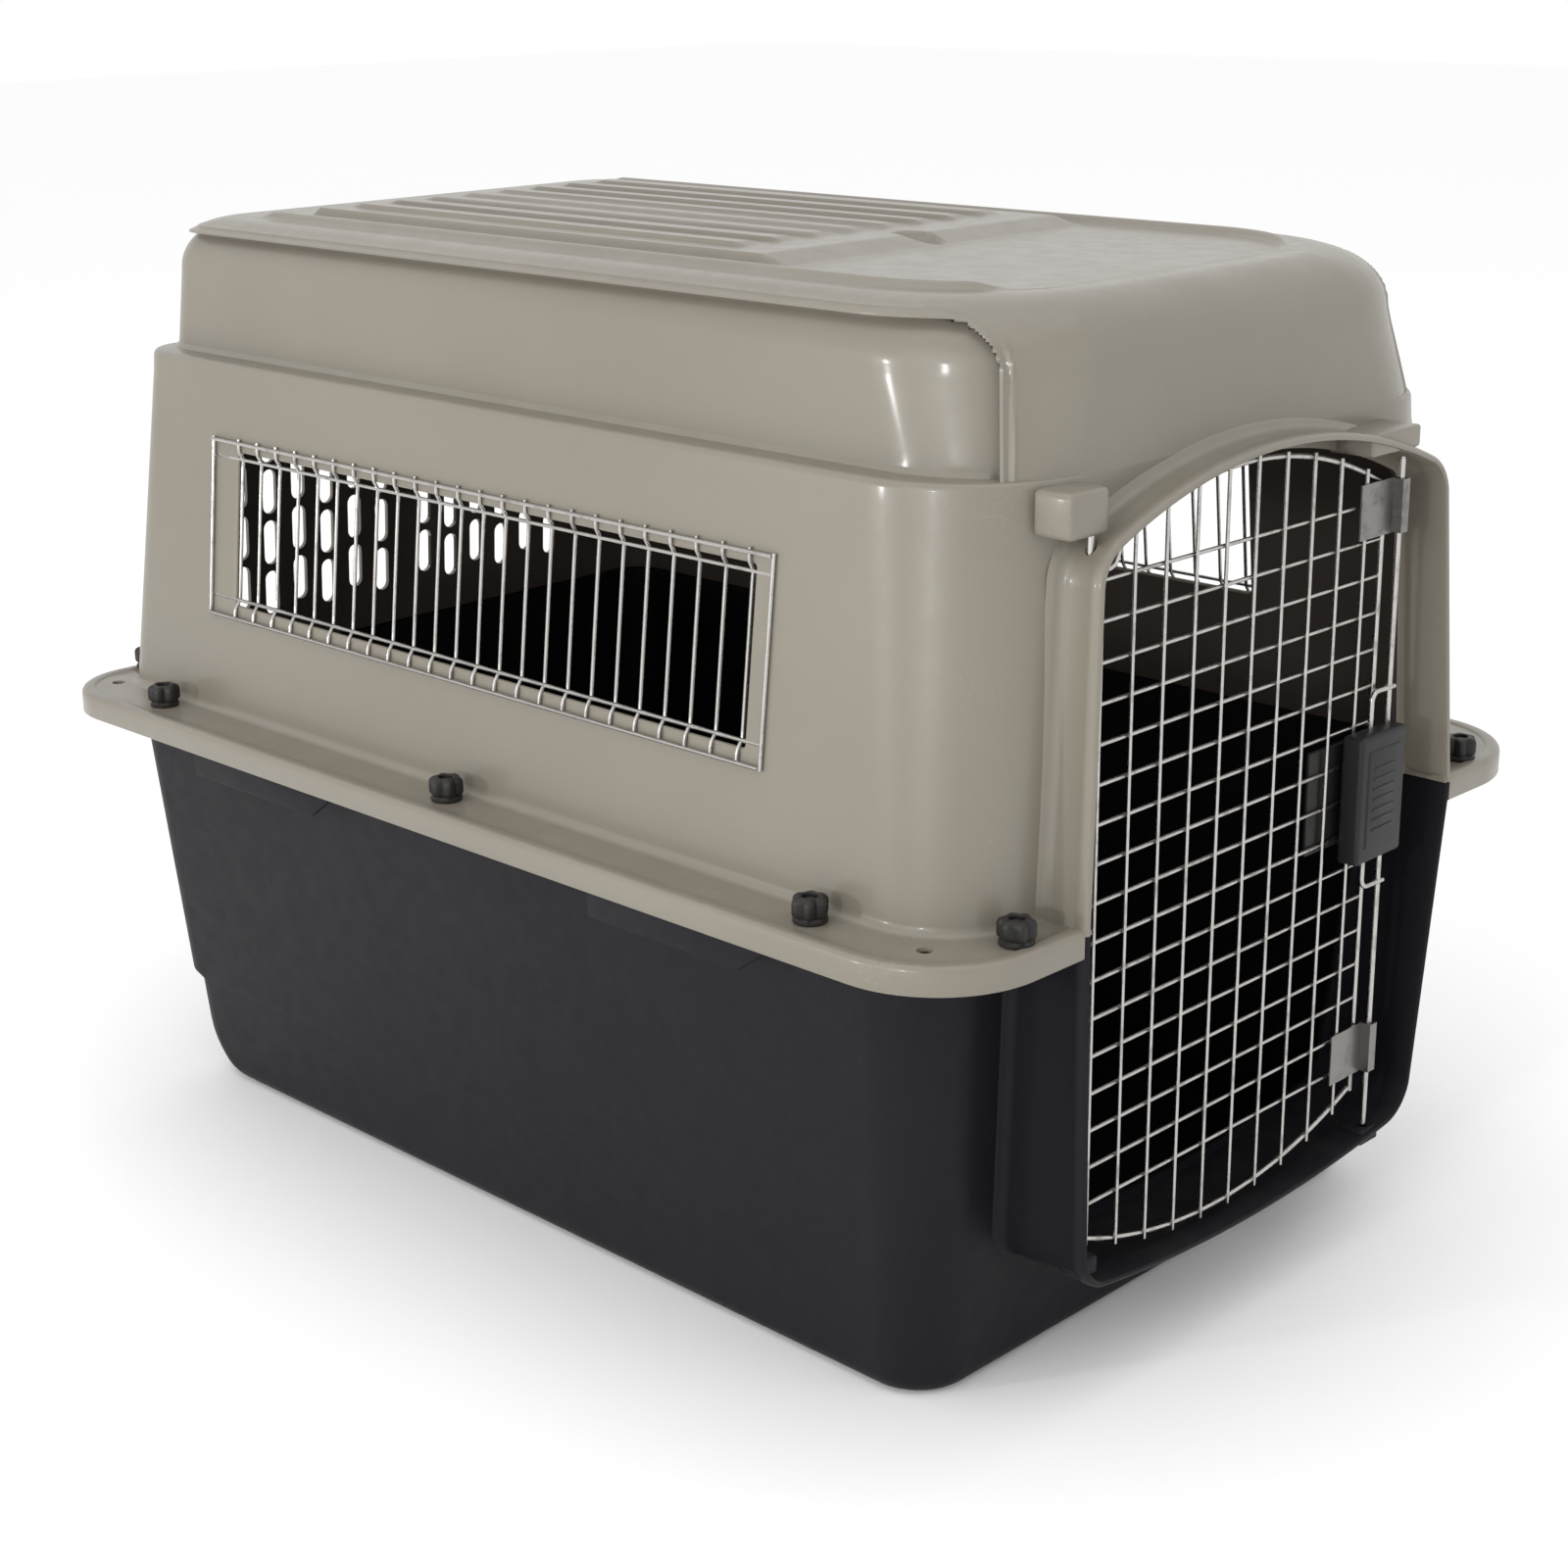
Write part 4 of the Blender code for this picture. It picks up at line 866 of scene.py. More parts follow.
@dataclass
class Hood:
    """One half of the hood that stands out round the doorway.

    Attributes:
        half: which half it is.
        crown: height of the arch above (or below) the seam.
        arch_radius: radius of the arch.
        corner: radius of the corner between side and arch.
        wall: thickness.
        side: half width at the seam.
        taper: loss of half width for each metre from the seam.
        lean: how far the rim leans back for each metre from the seam.
        rim_x: the rim at the seam.
        flare: radius of the fillet against the wall.
        corner_level: distance from the seam at which the corner's half width is taken.
        root: how far the band runs into the wall.
        lip: depth of the rim's thicker edge.
    """

    half: Half
    crown: float
    arch_radius: float
    corner: float = 0.030
    wall: float = 0.0040
    side: float = 0.197
    taper: float = 0.075
    lean: float = 0.035
    rim_x: float = 0.457
    flare: float = 0.008
    corner_level: float = 0.19
    root: float = 0.003
    lip: float = 0.0120

    def half_width(self, rise: float) -> float:
        """Half width at a height from the seam."""
        return self.side - self.taper * abs(rise)

    def front_x(self, z: float) -> float:
        """The rim at a height."""
        return self.rim_x - self.lean * abs(z - SEAM_Z - SEAT_RISE)

    def outline(self, inset: float, start_rise: float, steps: int = 28) -> list[tuple[float, float]]:
        """The hood's outline in (y, rise), from one side over the crown to the other."""
        sign = self.half.value
        arch = self.arch_radius - inset
        centre_rise = sign * (self.crown - self.arch_radius)
        corner = self.corner - inset
        side_y = self.half_width(self.corner_level) - inset - corner
        corner_rise = centre_rise + sign * math.sqrt((arch - corner) ** 2 - side_y ** 2)
        end_deg = math.degrees(math.atan2(abs(corner_rise - centre_rise), side_y))
        points = []
        foot_y = self.half_width(0.0) - inset
        for index in range(HOOD_SIDE_STEPS):
            rise = start_rise + (corner_rise - start_rise) * index / HOOD_SIDE_STEPS
            points.append((foot_y - (foot_y - side_y - corner) * (index / HOOD_SIDE_STEPS), rise))
        points += [(y, corner_rise + sign * rise)
                   for y, rise in arc((side_y, 0.0), corner, 0, end_deg,
                                      HOOD_CORNER_STEPS)]
        points += [(max(y, 0.0), centre_rise + sign * rise)
                   for y, rise in arc((0.0, 0.0), arch, end_deg, 90, steps)[1:]]
        return points[:-1] + [(0.0, points[-1][1])] + [(-y, rise) for y, rise in
                                                       reversed(points[:-1])]

    def section(self, wall_x: float, rim_x: float) -> list[tuple[float, float]]:
        """The hood's cross-section as (x, distance outwards)."""
        flare = self.flare
        section = [(wall_x - self.root, flare)]
        section += [(wall_x + flare - flare * math.sin(a), flare - flare * math.cos(a))
                    for a in [math.radians(90 - 15 * i) for i in range(1, 7)]]
        section += [(rim_x + ahead, reach) for ahead, reach in RIM_PROFILE]
        return section + [(rim_x - self.lip, -self.wall), (wall_x - self.root, -self.wall)]

    def build(self, name: str, material: bpy.types.Material) -> bpy.types.Object:
        """Build the band of the hood.

        Args:
            name: the piece's name.
            material: its finish.

        Returns:
            The new piece.
        """
        wall = cover_wall_x if self.half is Half.COVER else tub_wall_x
        start = SEAT_RISE if self.half is Half.COVER else SEAT_RISE - SEAM_GAP
        spine = self.outline(0.0, start)
        rings = []
        for index, (y, rise) in enumerate(spine):
            before = spine[max(index - 1, 0)]
            after = spine[min(index + 1, len(spine) - 1)]
            along = Vector((after[0] - before[0], after[1] - before[1])).normalized()
            out = Vector((along.y, -along.x)) * self.half.value
            z = SEAM_Z + rise
            ring = []
            for x, reach in self.section(wall(z), self.front_x(z)):
                spot_z = z + out.y * reach
                if index in (0, len(spine) - 1):
                    spot_z = z
                ring.append((x, y + out.x * reach, spot_z))
            rings.append(ring)
        builder = bmesh.new()
        skin(builder, rings)
        band = mesh_piece(name, builder, material, CURVED_SHARP_DEG)
        carve(band, [bores(COVER_BORES if self.half is Half.COVER else TUB_BORES)])
        return band

    def cavity(self, inset: float, low_x: float, high_x: float, start_rise: float
               ) -> bmesh.types.BMesh:
        """A closed shape of the space inside the hood."""
        outline = [(y, SEAM_Z + rise) for y, rise in self.outline(inset, start_rise)]
        return prism(outline, low_x, high_x, 0)


COVER_HOOD = Hood(Half.COVER, 0.272, 0.42)
TUB_HOOD = Hood(Half.TUB, 0.240, 1.10)
DOORWAY_INSET = 0.012


# ------------------------------------------------------------------ the cover
@dataclass
class Cover:
    """The taupe upper shell.

    Attributes:
        window_x: rear and front edges of the side windows.
        window_rise: lower and upper edges of the side windows.
        window_radius: radius of their corners.
        window_cut_y: depths between which each window's cutter runs.
        vent_rows: rows of rear vent slots.
        vent_columns: columns of slots on each side of the middle.
        vent_start: y and rise of the first slot's middle.
        vent_pitch: distance between columns, and between rows.
        vent_half: half width and half height of a slot.
        vent_radius: radius of a slot's ends.
        vent_stagger: how much higher every other column stands.
        vent_cut_x: depths between which the slots' cutters run.
        hood_inset: how far the hood's outline is drawn in for the cut into the flange.
        seat_x: where the hood's seat in the flange starts.
        seat_play: play of the hood in its seat.
        doorway_x: depths between which the doorway's cutter runs.
        trim: radius of the windows' rolled edges, and how far they stand in.
        cabin_x: rear and front ends of the cabin.
    """

    window_x: tuple[float, float] = (-0.283, 0.248)
    window_rise: tuple[float, float] = (0.097, 0.211)
    window_radius: float = 0.004
    window_cut_y: tuple[float, float] = (0.21, 0.30)
    vent_rows: int = 4
    vent_columns: int = 6
    vent_start: tuple[float, float] = (0.0225, 0.061)
    vent_pitch: tuple[float, float] = (0.0275, 0.0415)
    vent_half: tuple[float, float] = (0.0065, 0.018)
    vent_radius: float = 0.00645
    vent_stagger: float = 0.008
    vent_cut_x: tuple[float, float] = (-0.445, -0.390)
    hood_inset: float = 0.0038
    seat_x: float = 0.4240
    seat_play: float = 0.0006
    doorway_x: tuple[float, float] = (0.36, 0.4245)
    trim: tuple[float, float] = (0.0017, 0.0016)
    cabin_x: tuple[float, float] = (-0.4303, 0.4222)

    def flange_rings(self) -> list[Ring]:
        """The lip and the top of the flange, up to the wall's fillet."""
        rings = [plan_ring(FLANGE.grown(-0.0006), SEAM_Z),
                 plan_ring(FLANGE, SEAM_Z + 0.0008),
                 plan_ring(FLANGE, LIP_TOP - LIP_ROUND)]
        for turn_deg in (22, 45, 67, 90):
            turn = math.radians(turn_deg)
            rings.append(plan_ring(FLANGE.grown(-LIP_ROUND + LIP_ROUND * math.cos(turn)),
                                   LIP_TOP - LIP_ROUND + LIP_ROUND * math.sin(turn)))
        for inset, drop in ((0.0085, 0.0), (0.0096, 0.0004), (0.0106, 0.0012)):
            rings.append(plan_ring(FLANGE.grown(-inset), LIP_TOP - drop))
        plate = LIP_TOP - 0.0014
        rings.append(plan_ring(COVER_FOOT.grown(0.0065), plate))
        for turn_deg in (20, 45, 70, 90):
            turn = math.radians(turn_deg)
            rings.append(plan_ring(COVER_FOOT.grown(WALL_FILLET * (1 - math.sin(turn))),
                                   plate + WALL_FILLET * (1 - math.cos(turn))))
        return rings

    def wall_rings(self) -> list[Ring]:
        """The wall from the fillet to the shoulder, with the rounded ledge on top."""
        rings = []
        for share in (0.02, 0.25, 0.5, 0.75, 0.97):
            rise = FOOT_RISE + (SHOULDER_RISE - FOOT_RISE) * share
            rings.append(plan_ring(COVER_FOOT.towards(COVER_SHOULDER, share), SEAM_Z + rise))
        edge = SHOULDER_ROUND
        for turn_deg in (0, 22, 45, 67, 90):
            turn = math.radians(turn_deg)
            inset = edge * (1 - math.cos(turn))
            rings.append(plan_ring(self.sided(COVER_SHOULDER, inset),
                                   SEAM_Z + LEDGE_RISE - edge + edge * math.sin(turn)))
        return rings

    @staticmethod
    def sided(plan: Plan, inset: float) -> Plan:
        """A plan whose sides stand in, while its ends stay."""
        return Plan(plan.front_x, plan.rear_x, plan.half - inset, plan.front_radius,
                    plan.rear_radius)

    def dome_rings(self) -> list[Ring]:
        """The dome above the shoulder, with its pressed side panels, to the roof."""
        ledge = LEDGE_RISE
        border_rise = ROOF_RISE - PANEL_TOP_DROP
        levels = [ledge + 0.0002, ledge + 0.0012, ledge + 0.0035, ledge + 0.0070]
        levels += [ledge + 0.012 + i * 0.008 for i in range(3)]
        levels += [ledge + 0.034 + i * 0.003 for i in range(8)]
        rings = []
        for rise in levels:
            share = (rise - ledge) / (EAVES_RISE - ledge)
            plan = DOME_FOOT.towards(EAVES, share)
            relief = Relief(depth=PANEL_DEPTH - PANEL_TAPER * share)
            fillet = 0.0035 * (1 - smoothstep((rise - ledge) / 0.004))
            rings.append(self.panel_ring(plan, SEAM_Z + rise, relief,
                                         border_rise - rise + PANEL_BLEND, fillet))
        edge = ROOF_EDGE
        relief = Relief(depth=PANEL_TOP_DEPTH)
        for index in range(1, 31):
            turn = math.radians(index * 3.0)
            rise = ROOF_RISE - edge + edge * math.sin(turn)
            inset = edge * (1 - math.cos(turn))
            plan = Plan(EAVES.front_x - inset, EAVES.rear_x + inset * 0.9, EAVES.half - inset,
                        EAVES.front_radius, EAVES.rear_radius)
            arc_below = (math.asin(min(1.0, (border_rise - ROOF_RISE + edge) / edge)) - turn) * edge
            rings.append(self.panel_ring(plan, SEAM_Z + rise, relief, arc_below + PANEL_BLEND,
                                         0.0))
        return rings

    def inner_rings(self) -> list[Ring]:
        """The shell's inner face, from the roof down to the lip."""
        rings = []
        edge = ROOF_EDGE - WALL
        for index in range(10, 0, -1):
            turn = math.radians(index * 9.0)
            inset = edge * (1 - math.cos(turn))
            rise = ROOF_RISE - WALL - edge + edge * math.sin(turn)
            plan = Plan(EAVES.front_x - WALL - inset, EAVES.rear_x + WALL + inset,
                        EAVES.half - PANEL_TOP_DEPTH - WALL - inset, EAVES.front_radius,
                        INNER_REAR_RADIUS)
            rings.append(plan_ring(plan, SEAM_Z + rise))
        low = LEDGE_RISE - WALL
        for share in (1.0, 0.66, 0.33, 0.0):
            plan = DOME_FOOT.towards(EAVES, share)
            inner = Plan(plan.front_x - WALL, plan.rear_x + WALL,
                         plan.half - PANEL_DEPTH - WALL, plan.front_radius, INNER_REAR_RADIUS)
            rise = low + (EAVES_RISE - low) * share * 0.98 + 0.0004
            rings.append(plan_ring(inner, SEAM_Z + rise))
        shoulder = COVER_SHOULDER.grown(-WALL)
        rings.append(plan_ring(shoulder, SEAM_Z + low))
        rings.append(plan_ring(COVER_FOOT.grown(-WALL), SEAM_Z + SEAT_RISE))
        rings.append(plan_ring(FLANGE.grown(-LIP_ROUND), SEAM_Z + SEAT_RISE - 0.0002))
        rings.append(plan_ring(FLANGE.grown(-LIP_ROUND), SEAM_Z))
        return rings

    @staticmethod
    def panel_ring(plan: Plan, z: float, relief: Relief, below: float, fillet: float) -> Ring:
        """A ring of the dome, with a fillet where the panel meets the ledge."""
        ring = plan_ring(plan, z, relief, below)
        if fillet <= 0:
            return ring
        limit = plan.front_x - plan.front_radius * 0.35
        return [(x, y + math.copysign(fillet, y), z) if x < limit else (x, y, z)
                for x, y, z in ring]

    def window_outline(self) -> list[tuple[float, float]]:
        """The outline of a side window in (x, z)."""
        low = (self.window_x[0], SEAM_Z + self.window_rise[0])
        high = (self.window_x[1], SEAM_Z + self.window_rise[1])
        return rounded_rectangle(low, high, self.window_radius)

    def windows(self) -> bmesh.types.BMesh:
        """The side windows as one cutter that runs through both walls."""
        builder = bmesh.new()
        for side in (-1, 1):
            skin(builder, [[(x, side * y, z) for x, z in self.window_outline()]
                           for y in self.window_cut_y])
        return builder

    def vents(self) -> bmesh.types.BMesh:
        """The staggered slots of the rear wall."""
        builder = bmesh.new()
        half_y, half_z = self.vent_half
        for column in range(self.vent_columns):
            for side in (-1, 1):
                y = side * (self.vent_start[0] + column * self.vent_pitch[0])
                stagger = self.vent_stagger if (column + (side > 0)) % 2 == 1 else 0.0
                for row in range(self.vent_rows):
                    rise = self.vent_start[1] + row * self.vent_pitch[1] + stagger
                    outline = rounded_rectangle((y - half_y, SEAM_Z + rise - half_z),
                                                (y + half_y, SEAM_Z + rise + half_z),
                                                self.vent_radius, 4)
                    skin(builder, [[(x, py, pz) for py, pz in outline] for x in self.vent_cut_x])
        return builder

    def build_shell(self, material: bpy.types.Material, inside: bpy.types.Material
                    ) -> bpy.types.Object:
        """Build the shell with all its openings.

        Args:
            material: its finish.
            inside: the darker taupe that paints shade on its inner faces.

        Returns:
            The new piece.
        """
        builder = bmesh.new()
        rings = self.inner_rings() + self.flange_rings() + self.wall_rings() + self.dome_rings()
        skin(builder, rings)
        shell = mesh_piece("cover_shell", builder, material)
        seat = bmesh.new()
        half = COVER_HOOD.side + self.seat_play
        soft_box(seat, raised((self.seat_x, -half, -0.004)), raised((IN_FRONT_X, half, SEAT_RISE)))
        carve(shell, [COVER_HOOD.cavity(self.hood_inset, self.seat_x, IN_FRONT_X, -0.02), seat,
                      COVER_HOOD.cavity(DOORWAY_INSET, *self.doorway_x, -0.03), self.windows(),
                      self.vents(), tie_holes()])
        # Faces that look into the cabin get the darker taupe: painted shade.
        paint_inner_shade(shell, inside, self.looks_in)
        return shell

    def looks_in(self, middle: Vector, normal: Vector) -> bool:
        """Whether a face of the cover looks into the cabin, and so gets the painted shade."""
        if middle.z < SEAM_Z + SEAT_RISE - 0.001 or normal.z > 0.3:
            return False
        reach = Vector((0.0, 0.0, SEAM_Z + 0.16)) - middle
        rear, front = self.cabin_x
        within = abs(middle.y) < COVER_FOOT.half - 0.001 and rear < middle.x < front
        return within and normal.dot(reach.normalized()) > 0.05

    def build_window_trim(self, material: bpy.types.Material) -> bpy.types.Object:
        """Build the rolled edges of the side windows."""
        builder = bmesh.new()
        radius, inset = self.trim
        for side in (-1, 1):
            path = [Vector((x, side * (side_wall_y(z - SEAM_Z) - inset), z))
                    for x, z in self.window_outline()]
            sweep(builder, path + [path[0]], radius, 8)
        return mesh_piece("window_edges", builder, material)


def side_wall_y(rise: float) -> float:
    """Outer face of the cover's side wall at a height."""
    share = (rise - FOOT_RISE) / (SHOULDER_RISE - FOOT_RISE)
    return COVER_FOOT.half + (COVER_SHOULDER.half - COVER_FOOT.half) * share


@dataclass
class Roof:
    """The raised panel on the cover's roof.

    Attributes:
        size: half length and half width of the whole panel.
        corners: radii of the panel's front and rear corners.
        grid: divisions along and across.
        plateau: rear and front ends of the plateau, and its half width.
        height: of the plateau above the roof.
        slopes: lengths of the plateau's front, rear and side slopes.
        ribs: number of lengthwise ribs.
        rib_pitch: distance between them.
        rib_height: of each rib above the plateau.
        rib_half: half a rib's width and its soft edge, as shares of the pitch.
        rib_span: rear and front ends of the ribs.
        rib_end: length over which a rib rises at its ends.
        scoop_x: middle of the scoop in front of the plateau.
        scoop_half: half its length and half its width.
        scoop_depth: how deep it is.
        rail_y: distance of the side rails from the middle.
        rail_half: half a rail's width.
        rail_height: of the rails.
        rail_end: where the rails end, and the length over which they fade.
        sunk: how far the panel's border dips into the roof, and over what width.
    """

    size: tuple[float, float] = (0.366, 0.188)
    corners: tuple[float, float] = (0.100, 0.034)
    grid: tuple[int, int] = (300, 190)
    plateau: tuple[float, float, float] = (-0.318, 0.172, 0.150)
    height: float = 0.0062
    slopes: tuple[float, float, float] = (0.024, 0.008, 0.006)
    ribs: int = 8
    rib_pitch: float = 0.034
    rib_height: float = 0.0026
    rib_half: tuple[float, float] = (0.23, 0.06)
    rib_span: tuple[float, float] = (-0.298, 0.118)
    rib_end: float = 0.014
    scoop_x: float = 0.150
    scoop_half: tuple[float, float] = (0.020, 0.013)
    scoop_depth: float = 0.0050
    rail_y: float = 0.172
    rail_half: float = 0.0065
    rail_height: float = 0.0044
    rail_end: tuple[float, float] = (0.345, 0.02)
    sunk: tuple[float, float] = (0.0012, 0.006)

    def rib_rise(self, x: float, y: float) -> float:
        """Height of the ribs at a place."""
        if abs(y) >= self.rib_pitch * self.ribs / 2:
            return 0.0
        place = (y / self.rib_pitch + self.ribs / 2) % 1.0 - 0.5
        half, soft = self.rib_half
        rear, front = self.rib_span
        return (self.rib_height * smoothstep((half - abs(place)) / soft)
                * smoothstep((front - x) / self.rib_end) * smoothstep((x - rear) / self.rib_end))

    def rail_rise(self, x: float, y: float) -> float:
        """Height of the side rails at a place."""
        rail = smoothstep(1.2 - abs(abs(y) - self.rail_y) / self.rail_half)
        end, fade = self.rail_end
        return self.rail_height * rail * smoothstep((end - abs(x)) / fade)

    def rise(self, x: float, y: float) -> float:
        """Height of the panel above the roof at a place."""
        rear, front, half = self.plateau
        front_run, rear_run, side_run = self.slopes
        slope = min(1.0, max(0.0, (front - x) / front_run)) * smoothstep((x - rear) / rear_run)
        rise = self.height * slope * smoothstep((half - abs(y)) / side_run)
        rise += self.rib_rise(x, y)
        scoop = math.hypot((x - self.scoop_x) / self.scoop_half[0], y / self.scoop_half[1])
        rise -= self.scoop_depth * smoothstep((1.0 - scoop) / 0.35)
        rise += self.rail_rise(x, y)
        border = min(self.size[0] - abs(x), self.size[1] - abs(y))
        dip, width = self.sunk
        highest = HEIGHT - SEAM_Z - ROOF_RISE - 0.0002
        return min(rise, highest) - dip * (1 - smoothstep(border / width))

    def half_width(self, x: float) -> float:
        """Half width of the panel, which narrows round its corners."""
        length, half = self.size
        radius = self.corners[0] if x > 0 else self.corners[1]
        beyond = max(0.0, abs(x) - (length - radius))
        return half - radius + math.sqrt(max(0.0, radius ** 2 - beyond ** 2))

    def build(self, material: bpy.types.Material) -> bpy.types.Object:
        """Build the panel as a closed sheet on the roof."""
        builder = bmesh.new()
        top = SEAM_Z + ROOF_RISE + 0.0002
        grid = bmesh.ops.create_grid(builder, x_segments=self.grid[0], y_segments=self.grid[1],
                                     size=1.0, matrix=Matrix.Diagonal((*self.size, 1.0, 1.0)))
        for vert in grid["verts"]:
            vert.co.z = top + self.rise(vert.co.x, vert.co.y)
            vert.co.y *= self.half_width(vert.co.x) / self.size[1]
        rim = [edge for edge in builder.edges if edge.is_boundary]
        made = bmesh.ops.extrude_edge_only(builder, edges=rim)["geom"]
        low = [item for item in made if isinstance(item, bmesh.types.BMVert)]
        for vert in low:
            vert.co.z = top - WALL_OVERLAP
        bmesh.ops.contextual_create(builder, geom=[item for item in made
                                                   if isinstance(item, bmesh.types.BMEdge)])
        return mesh_piece("roof_panel", builder, material)


# -------------------------------------------------------------------- the tub
TUB_INNER_LEVELS = (0.0, 0.0025, 0.007, 0.013, 0.021, 0.045, 0.077, 0.085, 0.092, 0.18)
"""Heights of the tub's inner rings, from the floor up."""
TUB_LEVELS = (0.30, 0.22, 0.15, 0.10, 0.089, 0.0865, 0.085, 0.083, 0.081, 0.0795, 0.077, 0.07,
              0.055, 0.045, 0.036, 0.028, 0.021, 0.016, 0.012, 0.0090, 0.0064, 0.0042, 0.0025,
              0.0012, 0.0004, 0.0)
"""Heights of its outer rings, from the flange down, closest at the step and the base."""


@dataclass
class Tub:
    """The dark lower shell.

    Attributes:
        edge_radius: of the base's front and side edges.
        rear_radius: of the base's rear edge.
        step_z: height of the step in the rear wall.
        step_depth: how far the wall stands in below the step.
        fillet: radius under the flange.
        grips: start and end of each finger grip along the side.
        grip_y: inner and outer faces of a grip.
        grip_rise: the grip's lower edge.
        notch_x: where the flange is cut away for the hood.
        notch_play: how much narrower that cut is than the hood.
        doorway_x: depths between which the doorway's cutter runs.
    """

    edge_radius: float = 0.012
    rear_radius: float = 0.045
    step_z: float = 0.083
    step_depth: float = 0.012
    fillet: float = 0.004
    grips: tuple[tuple[float, float], ...] = ((-0.294, -0.151), (0.141, 0.275))
    grip_y: tuple[float, float] = (0.2970, 0.3005)
    grip_rise: float = -0.0255
    notch_x: float = 0.4180
    notch_play: float = 0.002
    doorway_x: tuple[float, float] = (0.34, 0.4200)

    def plan(self, z: float) -> Plan:
        """The wall's plan at a height."""
        plain = TUB_FOOT.towards(TUB_TOP, z / SEAM_Z)
        side = self.inset(z, self.edge_radius)
        rear = self.inset(z, self.rear_radius)
        stepped = self.step_depth * (1 - smoothstep((z - self.step_z + 0.003) / 0.006))
        return Plan(plain.front_x - side, plain.rear_x + rear + stepped, plain.half - side,
                    plain.front_radius - side, plain.rear_radius - side)

    @staticmethod
    def inset(z: float, radius: float) -> float:
        """How far a rounded lower edge stands in at a height."""
        if z >= radius:
            return 0.0
        return radius - math.sqrt(radius ** 2 - (radius - z) ** 2)

    def build_shell(self, material: bpy.types.Material, inside: bpy.types.Material
                    ) -> bpy.types.Object:
        """Build the tub with its doorway.

        Args:
            material: its finish.
            inside: the darker plastic that paints shade on its inner faces.

        Returns:
            The new piece.
        """
        low = SEAM_Z + FLANGE_LOW_RISE
        rings = [plan_ring(self.plan(z + 0.004).grown(-WALL), max(z, WALL))
                 for z in TUB_INNER_LEVELS]
        rings += [plan_ring(TUB_TOP.grown(-WALL), low + TUB_FLANGE_THICK),
                  plan_ring(FLANGE.grown(-0.0046), low + TUB_FLANGE_THICK),
                  plan_ring(FLANGE.grown(-0.0046), low + 0.0012),
                  plan_ring(FLANGE.grown(-0.0052), low + 0.0003),
                  plan_ring(FLANGE.grown(-0.0062), low)]
        for turn_deg in (0, 30, 60, 90):
            turn = math.radians(turn_deg)
            rings.append(plan_ring(TUB_TOP.grown(self.fillet * (1 - math.sin(turn))),
                                   low - self.fillet * (1 - math.cos(turn))))
        rings += [plan_ring(self.plan(z), z) for z in TUB_LEVELS]
        builder = bmesh.new()
        skin(builder, rings)
        shell = mesh_piece("tub_shell", builder, material)
        notch = bmesh.new()
        half = TUB_HOOD.side - self.notch_play
        soft_box(notch, (self.notch_x, -half, SEAM_Z), (IN_FRONT_X, half, LIP_TOP))
        carve(shell, [notch, TUB_HOOD.cavity(DOORWAY_INSET, *self.doorway_x, 0.03), tie_holes()])
        # Faces that look into the cabin get the darker copy of the plastic: painted shade.
        paint_inner_shade(shell, inside, self.looks_in)
        return shell

    @staticmethod
    def looks_in(middle: Vector, normal: Vector) -> bool:
        """Whether a face of the tub looks into the cabin, and so gets the painted shade."""
        if middle.z < WALL - 0.0002:
            return False
        reach = Vector((0.0, 0.0, 0.20)) - middle
        return abs(middle.y) < TUB_TOP.half and normal.dot(reach.normalized()) > 0.05

    def build_grips(self, material: bpy.types.Material) -> bpy.types.Object:
        """Build the finger lips, each with a sloped front end."""
        builder = bmesh.new()
        top = SEAM_Z + FLANGE_LOW_RISE + 0.001
        for side in (-1, 1):
            for start, end in self.grips:
                foot = SEAM_Z + self.grip_rise
                outline = [(start, top), (start, foot), (end, foot),
                           (end + 0.034, SEAM_Z - 0.001), (end + 0.036, top)]
                part = bmesh.new()
                skin(part, [[(x, side * y, z) for x, z in outline] for y in self.grip_y])
                bmesh.ops.bevel(part, geom=part.edges[:], offset=0.0011, offset_type="OFFSET",
                                segments=2, profile=0.5, affect="EDGES", material=-1)
                join_into(builder, part)
        return mesh_piece("finger_grips", builder, material)


def join_into(target: bmesh.types.BMesh, part: bmesh.types.BMesh) -> None:
    """Add one bmesh to another, and free it."""
    mesh = bpy.data.meshes.new("part")
    part.to_mesh(mesh)
    part.free()
    target.from_mesh(mesh)
    bpy.data.meshes.remove(mesh)


# ------------------------------------------------------------------ wire work
UPRIGHT_PATH = ((0.0885, 0.0), (0.0945, 0.0), (0.0975, 0.0006), (0.1005, 0.0042 * 0.6),
                (0.1035, 0.0042), (0.110, 0.0042), (0.154, 0.0042), (0.198, 0.0042),
                (0.2045, 0.0042), (0.2075, 0.0042 * 0.6), (0.2105, 0.0006), (0.2135, 0.0),
                (0.2195, 0.0))
"""Bends of a grille's upright: rise from the seam, and dip into the window."""


